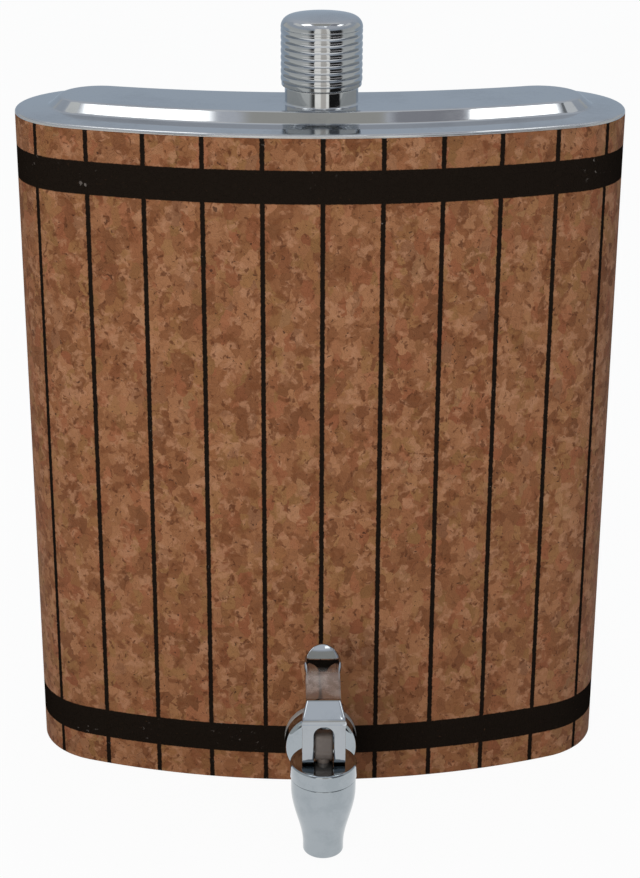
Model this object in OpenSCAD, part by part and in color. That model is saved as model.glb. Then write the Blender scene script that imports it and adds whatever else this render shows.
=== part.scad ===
// Flask dispenser: a steel tank in the shape of a big hip flask, wrapped in cork,
// with a screw cap on a short neck and a lever tap low on its front.
// Millimetres, +Z up, front towards -Y. The origin is on the table, under the middle of the tank.

/* [Tank] */
// Width over the cork wrap
body_w = 240; // [230:1:250]
// Radius of the rounded ends
end_r = 32.836; // [32:0.001:38]
// Radius of the bowed front
front_r = 280.461; // [260:0.001:330]
// Radius of the hollow back
back_r = 278.464; // [260:0.001:330]
// Height of the wrapped wall
wall_h = 276; // [220:1:320]
// Thickness of the sheet steel
sheet_t = 0.8; // [0.6:0.05:1.2]
// Thickness of the cork wrap
cork_t = 1.2; // [0.8:0.1:2]
// Glue line between the cork and the steel
glue_t = 0.1; // [0.05:0.01:0.2]
// Gap of the wrap's seam at the back
seam_w = 0.6; // [0.3:0.1:1.5]
// Height of the wall's lower edge above the table
edge_lift = 0.4; // [0.2:0.1:1]

/* [Top and base] */
// Height of the top's rim above the cork
rim_rise = 2.2; // [1.8:0.1:3]
// Radius of the rim's outer edge
rim_r = 1.6; // [1.3:0.1:1.7]
// Distance from the tank's side to the foot of the raised panel
panel_in = 12; // [9:0.5:12.5]
// Height of the raised panel above the rim
panel_rise = 4.1; // [3:0.1:4.6]
// Slope of the panel's side
panel_slope = 45; // [40:1:55]
// Radius of the bends at the panel's side
panel_bend = 2.5; // [2:0.1:3]
// Radius of the base's edge
base_r = 3; // [2:0.1:4]
// Height of the base's skirt inside the wall
skirt_h = 8; // [5.5:0.5:8]

/* [Neck and cap] */
// Radius of the neck's collar
neck_r = 14.2; // [13.8:0.1:14.6]
// Height of the neck's collar above the panel
neck_collar_h = 6.4; // [4:0.2:10]
// Radius of the weld fillet at the neck's foot
weld_r = 0.8; // [0.5:0.1:0.9]
// Radius of the mouth
mouth_r = 10.8; // [9.5:0.1:11]
// Radius of the neck under its thread
neck_root_r = 12.2; // [11.9:0.1:12.3]
// Height of the threaded part of the neck
neck_thread_h = 17; // [15:0.5:18]
// Rise of the thread in one turn
thread_pitch = 4; // [3.8:0.1:4.5]
// Height of a thread ridge
thread_depth = 1; // [0.8:0.1:1.1]
// Radius of the cap over its ribs
cap_r = 15.75; // [15.6:0.05:16.5]
// Height of the cap
cap_h = 27.5; // [26:0.5:32]
// Number of ribs round the cap
rib_count = 8; // [6:1:8]
// Height of one rib
rib_pitch = 2.6; // [2:0.1:2.7]
// Depth of the grooves between the ribs
rib_depth = 0.5; // [0.2:0.05:0.6]
// Wall of the cap under its grooves
cap_wall = 0.7; // [0.5:0.05:0.8]
// Radius of the cap's shoulder
shoulder_r = 4.2; // [3:0.1:5]
// Thickness of the sealing disc
liner_t = 1.5; // [1:0.1:2.5]
// Thickness of the insert's top
insert_top_t = 1.5; // [1:0.1:2.5]

/* [Tap] */
// Height of the tap's shank above the table
tap_z = 21.7; // [21.5:0.1:30]
// Distance from the tank's front to the axis of the valve
tap_reach = 54.5; // [45:0.5:65]
// Radius of the arm between flange and valve
arm_r = 7; // [6:0.1:8]
// Radius of the flange
flange_r = 14.9; // [13:0.1:17]
// Thickness of the flange
flange_t = 7.5; // [4:0.1:10]
// Radius of the shank through the wall
shank_r = 8; // [7.5:0.1:9]
// Length of the shank past its nut
shank_tail = 2; // [1:0.5:5]
// Radius of the bore through the shank
inlet_r = 4.5; // [3.5:0.1:5]
// Thickness of the outer washer
outer_washer_t = 3; // [2:0.1:4]
// Thickness of the inner washer
inner_washer_t = 2.5; // [1.5:0.1:4]
// Radius of the inner washer
inner_washer_r = 12.5; // [11:0.1:12.9]
// Width of the nut across its flats
nut_w = 24; // [21:0.5:25]
// Thickness of the nut
nut_t = 8; // [5:0.5:10]

/* [Valve] */
// Height of the spout's end below the shank
spout_drop = 19.5; // [18:0.1:20]
// Radius of the spout
spout_r = 8; // [7.6:0.1:9]
// Radius of the outlet
outlet_r = 5; // [4:0.1:5.5]
// Radius of the valve's body
valve_r = 12.7; // [12.4:0.1:13.5]
// Height of the valve's body above the shank
valve_rise = 13.9; // [13:0.1:16]
// Radius of the bonnet
bonnet_r = 13; // [12.8:0.1:14]
// Height of the bonnet
bonnet_h = 6.9; // [6:0.1:9]
// Depth of the bonnet's thread in the body
bonnet_thread_h = 5; // [4:0.1:5.5]
// Radius of the bonnet's thread
bonnet_thread_r = 9.9; // [9.6:0.1:10]
// Height of the valve seat above the spout's end
seat_rise = 10.3; // [9:0.1:11]
// Radius of the plug
plug_r = 6.6; // [6.2:0.1:6.8]
// Height of the plug
plug_h = 6; // [5.5:0.1:7]
// Radius of the stem
stem_r = 2.5; // [2.3:0.1:2.6]
// Height of the stem's head above the pin
head_h = 8.5; // [5:0.1:9]
// Radius of the spring, at the middle of its wire
spring_r = 4.2; // [3.7:0.1:4.3]
// Diameter of the spring's wire
wire_d = 1; // [0.6:0.1:1.2]
// Number of turns of the spring
spring_turns = 6; // [4:1:7]

/* [Lever] */
// Width of the lever across its legs
lever_w = 16.8; // [15:0.1:18]
// Width of the lever's shoulder
shoulder_w = 17.6; // [17:0.1:18]
// Gap between the legs
fork_gap = 7.7; // [7:0.1:8.5]
// Height of the gap above the pin
fork_h = 13.6; // [11:0.1:14]
// Height of the pin above the lever's feet
pin_rise = 4; // [3.8:0.1:5]
// Radius of the pin
pin_r = 1.2; // [1:0.1:1.5]
// Depth of the legs behind the pin
leg_back = 6; // [5:0.1:7]
// Height of the shoulder above the pin
shoulder_h = 16.4; // [15:0.1:18]
// Rise of the sloping pad behind the shoulder
pad_rise = 5.1; // [4:0.1:6]
// Distance from the pin back to the top of the pad
pad_back = 2; // [1:0.1:3]
// Width of the handle's neck
handle_w = 13.6; // [12:0.1:14]
// Diameter of the thumb rest
thumb_d = 14.6; // [14.2:0.1:17]
// Length of the handle along its curve
handle_l = 30; // [26:0.5:34]
// Slope of the handle where it starts
handle_a0 = 8; // [0:1:12]
// Slope of the handle at its tip
handle_a1 = 36; // [30:1:45]
// Thickness of the handle
handle_t = 3.6; // [3:0.1:4.5]
// Turn of the lever from shut to open
lever_turn = 70; // [60:1:75]
// Rise of the stem at full turn
stem_lift = 2.1; // [1.5:0.1:2.4]

/* [Fits] */
// Clearance of parts that are fitted together
fit_gap = 0.05; // [0.03:0.01:0.08]
// Clearance of parts that move past each other
move_gap = 0.3; // [0.2:0.05:0.4]
// Clearance of the holes that the shank goes through
hole_gap = 0.4; // [0.2:0.05:0.8]

/* [Hidden] */
$fn = 96;
tank_fn = 360;

// Colours
steel = [0.78, 0.79, 0.80];
chrome = [0.70, 0.73, 0.77];
cork = [0.45, 0.26, 0.17];
silicone = [0.45, 0.46, 0.44];
dark_plastic = [0.16, 0.16, 0.17];
white_plastic = [0.85, 0.85, 0.82];

// Steps in a drawn arc, how far a cutter reaches past what it cuts, and the length of a tongue
arc_steps = 6;
past = 1;
tongue_l = 1;

// A length on whole thousandths
function thou(length) = round(length * 1000) / 1000;

// Outline of the tank: a bowed front arc, a hollow back arc, and end arcs that touch both.
// Its radii lie on whole thousandths, and the middles of the arcs follow from where they touch.
end_arc = thou(end_r);
front_arc = thou(front_r);
back_arc = thou(back_r);
end_x = thou(body_w / 2) - end_arc;
front_rise = sqrt((front_arc - end_arc) ^ 2 - end_x ^ 2);
back_rise = sqrt((back_arc + end_arc) ^ 2 - end_x ^ 2);
end_y = thou((front_arc - front_rise + back_arc - back_rise) / 2);
front_c = end_y + front_rise;
back_c = end_y + back_rise;
front_y = front_c - front_arc;
back_y = back_c - back_arc;
// Point outside the tank, on the line where the front arc meets the end arc
wedge_l = 2 * end_arc / (front_arc - end_arc);
wedge_x = end_x + wedge_l * end_x;
wedge_y = end_y - wedge_l * front_rise;

// Distances inwards from the face of the cork
shell_in = cork_t + glue_t;
bare_in = shell_in + sheet_t;

// Levels and distances of the top and the base
rim_z = wall_h + rim_rise;
panel_z = rim_z + panel_rise;
lip_z = wall_h + fit_gap;
bend_rise = panel_bend * (1 - cos(panel_slope));
slope_run = (panel_rise - 2 * bend_rise) / tan(panel_slope);
crest_in = panel_in + 2 * panel_bend * sin(panel_slope) + slope_run;
// Where the swept edges of the top and the base end, on whole millimetres
plate_in = ceil(crest_in) + past;
skirt_in = bare_in + fit_gap;
flat_in = ceil(skirt_in + base_r) + past;

// Levels and radii of the neck and the cap
collar_z = panel_z + neck_collar_h;
cap_z = collar_z + move_gap;
mouth_z = cap_z + neck_thread_h;
neck_spigot_r = neck_root_r + thread_depth;
insert_r = cap_r - rib_depth - cap_wall - fit_gap;
insert_root_r = neck_root_r + thread_depth + move_gap;
liner_top = mouth_z + liner_t;
cap_top = cap_z + cap_h;
// Angle at which the cap's shoulder meets its crown, and the radius of the crown
crown_a = 80;
crown_r = (cap_r - shoulder_r + shoulder_r * cos(crown_a)) / cos(crown_a);
cap_shoulder_h = shoulder_r * sin(crown_a) + crown_r * (1 - sin(crown_a));

// Thread ridges: their widths, their depth in the wall, and how far each goes round
ridge_base_w = 1.9;
ridge_tip_w = 0.9;
ridge_sink = 0.3;
neck_turns = 1.75;
insert_turns = 1.5;
// The middles of the two ridges stand so far apart that their flanks face each other
flank_gap = 0.2;
flank_slope = (ridge_base_w - ridge_tip_w) / (2 * thread_depth);
ridge_apart = ridge_base_w + flank_gap - flank_slope * (thread_depth + move_gap);
neck_ridge_z = mouth_z - thread_pitch * neck_turns - ridge_base_w;
insert_ridge_z = neck_ridge_z - ridge_apart;

// Places along the tap
valve_y = front_y - tap_reach;
flange_y = front_y - outer_washer_t - flange_t;
inner_face_y = front_y + bare_in + fit_gap;
nut_y = inner_face_y + inner_washer_t;
shank_end_y = nut_y + nut_t + shank_tail;
spout_z = tap_z - spout_drop;
seat_z = spout_z + seat_rise;
valve_top = tap_z + valve_rise;
bonnet_top = valve_top + bonnet_h;

// Outside of the valve: rounded edges, and the straight stretches under and over the taper
flange_edge_r = 1.5;
spout_lip_r = 1.2;
spout_straight = 2.8;
body_straight = 4.6;
taper_z = spout_z + spout_straight;
taper_top = valve_top - body_straight;
bonnet_edge_r = 1;

// Inside of the valve: chamber, bonnet, gland, plug and the washers at the spring's ends
seat_chamber_r = plug_r + 2 * move_gap;
chamber_r = 9.4;
chamber_rise = 8.5;
chamber_top = valve_top - bonnet_thread_h - past;
gasket_t = 1;
gasket_wall = 1.1;
gasket_r = valve_r - gasket_wall;
plug_top = seat_z + plug_h;
plug_edge = 1;
plug_socket_h = 4.5;
stem_tip_r = 2;
spring_seat_t = 0.8;
spring_seat_r = spring_r + wire_d;
bonnet_wall = 1.6;
bonnet_roof = 3.2;
boss_r = spring_r + wire_d;
boss_drop = 1.6;
boss_z = valve_top - boss_drop;
retainer_t = 1;
retainer_z = boss_z - retainer_t;
seal_d = 1.7;
seal_r = stem_r + fit_gap + seal_d / 2;

// The lever turns on a pin in the stem's head and rolls on the bonnet
foot_gap = 0.15;
pin_z = bonnet_top + foot_gap + pin_rise;
cam_rate = stem_lift / (lever_turn * PI / 180);
leg_front = (pin_rise + stem_lift) * sin(lever_turn) + cam_rate * cos(lever_turn);
head_gap = 0.2;
head_w = fork_gap - 2 * head_gap;
head_r = pin_rise + foot_gap - 2 * move_gap;
head_side = head_r - 0.4;
head_edge = 1.2;
handle_bend = handle_l / ((handle_a1 - handle_a0) * PI / 180);
leg_corner = 1.5;
fork_roof = 2.4;
block_h = fork_h + fork_roof;
fork_run = leg_front + leg_back + 2 * past;

// Points along an arc, on whole thousandths so that neighbouring pieces share them
function arc(middle, r, from, to) =
    [for (i = [0:arc_steps])
        let (a = from + (to - from) * i / arc_steps, p = middle + r * [cos(a), sin(a)])
        [thou(p[0]), thou(p[1])]];

// Triangles that join the rings of a swept solid, with its two ends closed
function sweep_faces(rings, sides) = concat(
    [for (i = [0:rings - 2], j = [0:sides - 1])
        let (next = (j + 1) % sides, here = i * sides, there = (i + 1) * sides)
        each [[here + j, there + next, there + j], [here + j, here + next, there + next]]],
    [for (j = [1:sides - 2]) [0, j + 1, j]],
    [for (j = [1:sides - 2]) let (last = (rings - 1) * sides) [last, last + j, last + j + 1]]
);

// The three kinds of arc in the tank's outline share the corners of these wedges
module front_wedge() {
    polygon([[end_x, end_y], [wedge_x, wedge_y], [-wedge_x, wedge_y], [-end_x, end_y]]);
}

module back_wedge() {
    polygon([[end_x, end_y], [-end_x, end_y], [0, back_c]]);
}

module end_wedge() {
    polygon([
        [end_x, end_y], [wedge_x, wedge_y], [wedge_x + body_w, wedge_y],
        [wedge_x + body_w, back_c], [0, back_c],
    ]);
}

// A wedge raised from below the base to above the top
module raised() {
    translate([0, 0, -past])
        linear_extrude(panel_z + 2 * past)
            children();
}

// Moves to the middle of an arc on the tank's centre line, in a whole and a fine step
module to_middle(y) {
    translate([0, thou(y), 0])
        translate([0, y - thou(y), 0])
            children();
}

// A short tongue inside the sheet, square to the line at angle a from the middle of the end arc
module tongue(core, a) {
    translate([end_x, end_y, 0])
        rotate([90, 0, a])
            linear_extrude(tongue_l, center = true)
                polygon([for (p = core) [end_arc - p[0], p[1]]]);
}

// A section of points [inwards from the cork's face, z], carried round the tank.
// Its core, which lies inside the section, makes the tongues across the lines where the arcs meet.
module along_wall(section, core) {
    points = [for (p = section) [thou(p[0]), thou(p[1])]];
    intersection() {
        to_middle(front_c)
            rotate_extrude($fn = tank_fn)
                polygon([for (p = points) [front_arc - p[0], p[1]]]);
        raised() front_wedge();
    }
    intersection() {
        to_middle(back_c)
            rotate_extrude($fn = tank_fn)
                polygon([for (p = points) [back_arc + p[0], p[1]]]);
        raised() back_wedge();
    }
    for (side = [0, 1])
        mirror([side, 0, 0])
            intersection() {
                translate([end_x, end_y, 0])
                    rotate_extrude()
                        polygon([for (p = points) [end_arc - p[0], p[1]]]);
                raised() end_wedge();
            }
    for (side = [0, 1])
        mirror([side, 0, 0]) {
            tongue(core, atan2(-front_rise, end_x));
            tongue(core, atan2(back_rise, -end_x));
        }
}

// A straight stretch of wall between two distances from the cork's face and two levels
module plain_wall(outer_in, inner_in, low, high) {
    skin = (inner_in - outer_in) / 4;
    along_wall(
        [[outer_in, low], [inner_in, low], [inner_in, high], [outer_in, high]],
        [
            [outer_in + skin, low + skin], [inner_in - skin, low + skin],
            [inner_in - skin, high - skin], [outer_in + skin, high - skin],
        ]
    );
}

// Flat plate with the tank's outline, drawn in from the cork's face
module wall_plate(inset, z, t) {
    translate([0, 0, z]) {
        linear_extrude(t)
            intersection() {
                difference() {
                    to_middle(front_c) circle(front_arc - thou(inset), $fn = tank_fn);
                    to_middle(back_c) circle(back_arc + thou(inset), $fn = tank_fn);
                }
                union() {
                    front_wedge();
                    back_wedge();
                }
            }
        for (side = [0, 1])
            mirror([side, 0, 0])
                linear_extrude(t)
                    intersection() {
                        translate([end_x, end_y]) circle(end_arc - thou(inset));
                        end_wedge();
                    }
    }
}

// Turned along Y: points [radius, y], on the shank's axis
module turned_y(section) {
    translate([0, 0, tap_z])
        rotate([-90, 0, 0])
            rotate_extrude()
                polygon(section);
}

// Turned about the axis of the valve: points [radius, z]
module turned_valve(section) {
    translate([0, valve_y, 0])
        rotate_extrude()
            polygon(section);
}

// A plain ring about the axis of the valve
module valve_ring(inner_r, outer_r, z, h) {
    turned_valve([[inner_r, z], [outer_r, z], [outer_r, z + h], [inner_r, z + h]]);
}

// A thread ridge from root_r to tip_r, which may lie inside it, with run-outs at both ends
module thread_ridge(root_r, tip_r, z, turns) {
    steps_per_turn = 36;
    run_out = 4;
    steps = round(turns * steps_per_turn);
    outwards = sign(tip_r - root_r);
    sunk_r = root_r - outwards * ridge_sink;
    rings = [
        for (i = [0:steps]) let (
            a = 360 * i / steps_per_turn,
            full = min(1, (1 + min(i, steps - i)) / run_out),
            crest = root_r + (tip_r - root_r) * full,
            mid = z + thread_pitch * i / steps_per_turn,
            base = outwards * ridge_base_w / 2,
            tip = outwards * ridge_tip_w / 2,
            corners = [[sunk_r, -base], [crest, -tip], [crest, tip], [sunk_r, base]]
        ) [for (p = corners) [p[0] * cos(a), p[0] * sin(a), mid + p[1]]],
    ];
    polyhedron([for (ring = rings) each ring], sweep_faces(steps + 1, 4), convexity = 6);
}

// Hole for the shank through the front wall
module tap_hole(r) {
    translate([0, front_y - past, tap_z])
        rotate([-90, 0, 0])
            cylinder(r = r, h = bare_in + 2 * past);
}

// Formed wall of the tank, with the hole for the tap
module flask_shell() {
    color(steel) difference() {
        plain_wall(shell_in, bare_in, edge_lift, rim_z - sheet_t - 2 * fit_gap);
        tap_hole(shank_r + hole_gap);
    }
}

// Section of the top's rim and the side of its panel, trimmed by a distance on every face
function top_section(trim) = let (
    foot = [panel_in, rim_z + panel_bend],
    crest = [crest_in, panel_z - panel_bend],
    edge = [rim_r, rim_z - rim_r]
) concat(
    [[trim, lip_z + trim]],
    arc(edge, rim_r - trim, 180, 90),
    arc(foot, panel_bend + trim, -90, -90 + panel_slope),
    arc(crest, panel_bend - trim, 90 + panel_slope, 90),
    [[plate_in - trim, panel_z - trim], [plate_in - trim, panel_z - sheet_t + trim]],
    arc(crest, panel_bend - sheet_t + trim, 90, 90 + panel_slope),
    arc(foot, panel_bend + sheet_t - trim, -90 + panel_slope, -90),
    arc(edge, rim_r - sheet_t + trim, 90, 180),
    [[sheet_t - trim, lip_z + trim]]
);

// Pressed top with a raised panel, and a hole for the neck
module top_plate() {
    color(steel) difference() {
        union() {
            along_wall(top_section(0), top_section(sheet_t / 4));
            wall_plate(plate_in - past, panel_z - sheet_t, sheet_t);
        }
        translate([0, 0, panel_z - sheet_t - past])
            cylinder(r = neck_spigot_r + fit_gap, h = sheet_t + 2 * past);
    }
}

// Section of the base's skirt and edge, trimmed by a distance on every face
function base_section(trim) = let (edge = [skirt_in + base_r, base_r]) concat(
    [[skirt_in + trim, skirt_h - trim]],
    arc(edge, base_r - trim, 180, 270),
    [[flat_in - trim, trim], [flat_in - trim, sheet_t - trim]],
    arc(edge, base_r - sheet_t + trim, 270, 180),
    [[skirt_in + sheet_t - trim, skirt_h - trim]]
);

// Pressed base: a flat pan with a skirt inside the wall
module base_plate() {
    color(steel) {
        along_wall(base_section(0), base_section(sheet_t / 4));
        wall_plate(flat_in - past, 0, sheet_t);
    }
}

// Turned neck: a spigot in the top, a collar with its weld fillet, and a threaded mouth
module neck() {
    color(steel) {
        rotate_extrude()
            polygon(concat(
                [[mouth_r, panel_z - sheet_t], [neck_spigot_r, panel_z - sheet_t]],
                [[neck_spigot_r, panel_z]],
                arc([neck_r + weld_r, panel_z + weld_r], weld_r, 270, 180),
                [[neck_r, collar_z], [neck_root_r, collar_z]],
                [[neck_root_r, mouth_z], [mouth_r, mouth_z]]
            ));
        thread_ridge(neck_root_r, neck_root_r + thread_depth, neck_ridge_z, neck_turns);
    }
}

// Cork sleeve with a butt seam at the back and a hole for the shank
module cork_wrap() {
    color(cork) difference() {
        plain_wall(0, cork_t, edge_lift, wall_h);
        tap_hole(shank_r + 2 * hole_gap);
        translate([-seam_w / 2, back_y - past - cork_t, 0])
            cube([seam_w, cork_t + 2 * past, wall_h + past]);
    }
}

// Ribbed cap with a domed top
module cap_shell() {
    rib_steps = 6;
    rib_z = cap_top - cap_shoulder_h - rib_count * rib_pitch;
    rib_bend = (rib_pitch ^ 2 / 4 + rib_depth ^ 2) / (2 * rib_depth);
    groove_r = cap_r - rib_depth;
    shoulder = [cap_r - shoulder_r, cap_top - cap_shoulder_h];
    inner_r = groove_r - cap_wall;
    crown = [0, cap_top - crown_r];
    inner_drop = cap_r - inner_r;
    outside = concat(
        [[inner_r, cap_z], [groove_r, cap_z], [groove_r, rib_z]],
        [for (i = [0:rib_count - 1], j = [1:rib_steps]) let (
            along = rib_pitch * j / rib_steps,
            bulge = sqrt(rib_bend ^ 2 - (along - rib_pitch / 2) ^ 2) - (rib_bend - rib_depth)
        ) [groove_r + bulge, rib_z + i * rib_pitch + along]],
        arc(shoulder, shoulder_r, 0, crown_a),
        arc(crown, crown_r, crown_a, 90)
    );
    inside = concat(
        arc(crown, crown_r - inner_drop, 90, crown_a),
        arc(shoulder, shoulder_r - inner_drop, crown_a, 0)
    );
    color(steel) rotate_extrude() polygon(concat(outside, inside));
}

// Threaded sleeve inside the cap
module cap_insert() {
    foot_z = cap_z + fit_gap;
    insert_top = liner_top + insert_top_t;
    color(white_plastic) {
        rotate_extrude()
            polygon([
                [insert_root_r, foot_z], [insert_r, foot_z], [insert_r, insert_top],
                [0, insert_top], [0, liner_top], [insert_root_r, liner_top],
            ]);
        thread_ridge(insert_root_r, insert_root_r - thread_depth, insert_ridge_z, insert_turns);
    }
}

// Sealing disc between the mouth and the cap
module cap_liner() {
    color(silicone)
        translate([0, 0, mouth_z])
            cylinder(r = insert_root_r - move_gap, h = liner_t);
}

// Body of the tap: valve and spout, arm, flange and shank in one piece
module tap_body() {
    taper_steps = 12;
    taper = [for (i = [0:taper_steps]) let (
        t = i / taper_steps,
        swell = (1 - cos(180 * t)) / 2
    ) [spout_r + (valve_r - spout_r) * swell, taper_z + (taper_top - taper_z) * t]];
    flange_back = flange_y + flange_t;
    thread_r = bonnet_thread_r + fit_gap;
    gasket_seat_z = valve_top - gasket_t;
    color(chrome) difference() {
        union() {
            turned_valve(concat(
                [[0, spout_z]],
                arc([spout_r - spout_lip_r, spout_z + spout_lip_r], spout_lip_r, -90, 0),
                taper,
                [[valve_r, valve_top], [0, valve_top]]
            ));
            turned_y(concat(
                [[0, valve_y], [arm_r, valve_y], [arm_r, flange_y]],
                arc([flange_r - flange_edge_r, flange_y + flange_edge_r], flange_edge_r, -90, 0),
                [[flange_r, flange_back], [shank_r, flange_back], [shank_r, shank_end_y], [0, shank_end_y]]
            ));
        }
        turned_y([
            [0, valve_y], [inlet_r, valve_y],
            [inlet_r, shank_end_y + past], [0, shank_end_y + past],
        ]);
        turned_valve([
            [0, spout_z - past], [outlet_r, spout_z - past], [outlet_r, seat_z],
            [seat_chamber_r, seat_z], [chamber_r, seat_z + chamber_rise],
            [chamber_r, chamber_top], [thread_r, chamber_top],
            [thread_r, gasket_seat_z], [gasket_r + fit_gap, gasket_seat_z],
            [gasket_r + fit_gap, valve_top + past], [0, valve_top + past],
        ]);
    }
}

// Washer between the flange and the cork, shaped to the bowed front
module outer_washer() {
    color(silicone) difference() {
        turned_y([
            [shank_r + fit_gap, front_y - outer_washer_t], [flange_r, front_y - outer_washer_t],
            [flange_r, front_y + past], [shank_r + fit_gap, front_y + past],
        ]);
        translate([0, front_c, tap_z - flange_r - past])
            cylinder(r = front_arc, h = 2 * (flange_r + past), $fn = tank_fn);
    }
}

// Washer between the wall and the nut, shaped to the inside of the front
module inner_washer() {
    color(silicone) intersection() {
        turned_y([
            [shank_r + fit_gap, inner_face_y - past], [inner_washer_r, inner_face_y - past],
            [inner_washer_r, nut_y], [shank_r + fit_gap, nut_y],
        ]);
        translate([0, front_c, tap_z - inner_washer_r - past])
            cylinder(r = front_arc - bare_in - fit_gap, h = 2 * (inner_washer_r + past), $fn = tank_fn);
    }
}

// Hexagon nut inside the tank
module tap_nut() {
    nut_sides = 6;
    color(white_plastic)
        translate([0, nut_y, tap_z])
            rotate([-90, 0, 0])
                difference() {
                    rotate(180 / nut_sides)
                        cylinder(r = nut_w / 2 / cos(180 / nut_sides), h = nut_t, $fn = nut_sides);
                    translate([0, 0, -past])
                        cylinder(r = shank_r + fit_gap, h = nut_t + 2 * past);
                }
}

// Screwed bonnet on the valve, with the gland for the stem
module bonnet() {
    thread_z = valve_top - bonnet_thread_h;
    roof_z = bonnet_top - bonnet_roof;
    seal_seat_z = boss_z + seal_d + fit_gap;
    seal_seat_r = seal_r + seal_d / 2 + fit_gap;
    wall_r = bonnet_thread_r - bonnet_wall;
    color(chrome) turned_valve(concat(
        [[wall_r, thread_z], [bonnet_thread_r, thread_z]],
        [[bonnet_thread_r, valve_top], [bonnet_r, valve_top]],
        arc([bonnet_r - bonnet_edge_r, bonnet_top - bonnet_edge_r], bonnet_edge_r, 0, 90),
        [[stem_r + fit_gap, bonnet_top], [stem_r + fit_gap, seal_seat_z]],
        [[seal_seat_r, seal_seat_z], [seal_seat_r, boss_z]],
        [[boss_r, boss_z], [boss_r, roof_z], [wall_r, roof_z]]
    ));
}

// Flat gasket under the bonnet
module bonnet_gasket() {
    color(silicone)
        valve_ring(bonnet_thread_r + fit_gap, gasket_r, valve_top - gasket_t, gasket_t);
}

// Ring that seals the stem in the bonnet
module stem_seal() {
    color(silicone)
        translate([0, valve_y, boss_z + seal_d / 2])
            rotate_extrude()
                translate([seal_r, 0])
                    circle(seal_d / 2);
}

// Washer that holds the stem's seal and takes the top of the spring
module seal_retainer() {
    color(steel)
        valve_ring(stem_r + fit_gap, boss_r, retainer_z, retainer_t);
}

// Stem with the head that carries the lever's pin
module valve_stem() {
    color(dark_plastic) difference() {
        union() {
            translate([0, valve_y, plug_top - plug_socket_h])
                cylinder(r = stem_tip_r, h = plug_socket_h);
            translate([0, valve_y, plug_top])
                cylinder(r = stem_r, h = pin_z - plug_top);
            translate([-head_w / 2, valve_y, pin_z])
                rotate([0, 90, 0])
                    cylinder(r = head_r, h = head_w);
            translate([-head_w / 2, valve_y, pin_z])
                rotate([90, 0, 90])
                    linear_extrude(head_w)
                        polygon([
                            [-head_side, 0], [head_side, 0], [head_side, head_h - head_edge],
                            [head_side - head_edge, head_h], [head_edge - head_side, head_h],
                            [-head_side, head_h - head_edge],
                        ]);
        }
        translate([-head_w / 2 - past, valve_y, pin_z])
            rotate([0, 90, 0])
                cylinder(r = pin_r + fit_gap / 2, h = head_w + 2 * past);
    }
}

// Soft plug that shuts the outlet
module valve_plug() {
    socket_r = stem_tip_r + fit_gap;
    socket_z = plug_top - plug_socket_h;
    color(silicone) turned_valve([
        [0, seat_z], [plug_r - plug_edge, seat_z], [plug_r, seat_z + plug_edge], [plug_r, plug_top],
        [socket_r, plug_top], [socket_r, socket_z], [0, socket_z],
    ]);
}

// Washer on the plug that takes the foot of the spring
module spring_seat() {
    color(steel)
        valve_ring(stem_r + fit_gap, spring_seat_r, plug_top, spring_seat_t);
}

// Spring that pushes the plug on its seat
module closing_spring() {
    sides = 6;
    rings_per_turn = 12;
    steps = spring_turns * rings_per_turn;
    low = plug_top + spring_seat_t + wire_d / 2 + fit_gap;
    high = retainer_z - wire_d / 2 - fit_gap;
    rings = [for (i = [0:steps]) let (
        a = 360 * i / rings_per_turn,
        mid = low + (high - low) * i / steps
    ) [for (j = [0:sides - 1]) let (
        b = 360 * j / sides,
        r = spring_r + wire_d / 2 * cos(b)
    ) [r * cos(a), r * sin(a), mid + wire_d / 2 * sin(b)]]];
    color(steel)
        translate([0, valve_y, 0])
            polyhedron([for (ring = rings) each ring], sweep_faces(steps + 1, sides), convexity = 10);
}

// Points of the foot's rolling edge, which lifts the pin in step with the turn
function cam_edge() = [for (i = [0:2 * arc_steps]) let (
    a = lever_turn * i / (2 * arc_steps),
    lift = pin_rise + cam_rate * a * PI / 180
) [-lift * sin(a) - cam_rate * cos(a), -lift * cos(a) + cam_rate * sin(a)]];

// Points along the handle, at a distance below its upper face
function handle_edge(below) = [for (i = [0:2 * arc_steps]) let (
    a = handle_a0 + (handle_a1 - handle_a0) * i / (2 * arc_steps)
) [
    pad_back + handle_bend * (sin(a) - sin(handle_a0)) + below * sin(a),
    shoulder_h + pad_rise + handle_bend * (cos(handle_a0) - cos(a)) - below * cos(a),
]];

// Outline of the lever from the side: points [y, z] from the pin
module lever_side() {
    top = handle_edge(0);
    under = handle_edge(handle_t);
    polygon(concat(
        [[leg_back - leg_corner, -pin_rise]],
        cam_edge(),
        [[-leg_front, shoulder_h]],
        top,
        [for (i = [len(under) - 1:-1:0]) if (under[i][0] > leg_back + leg_corner) under[i]],
        [[leg_back, block_h], [leg_back, leg_corner - pin_rise]]
    ));
}

// Outline of the lever from above: points [x, y] from the pin
module lever_plan() {
    tip_y = handle_edge(0)[2 * arc_steps][0];
    polygon([
        [-shoulder_w / 2, -leg_front - past], [shoulder_w / 2, -leg_front - past],
        [shoulder_w / 2, -leg_front], [handle_w / 2, pad_back], [handle_w / 2, tip_y - thumb_d / 2],
        [-handle_w / 2, tip_y - thumb_d / 2], [-handle_w / 2, pad_back], [-shoulder_w / 2, -leg_front],
    ]);
    translate([0, tip_y - thumb_d / 2]) circle(thumb_d / 2);
}

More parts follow.
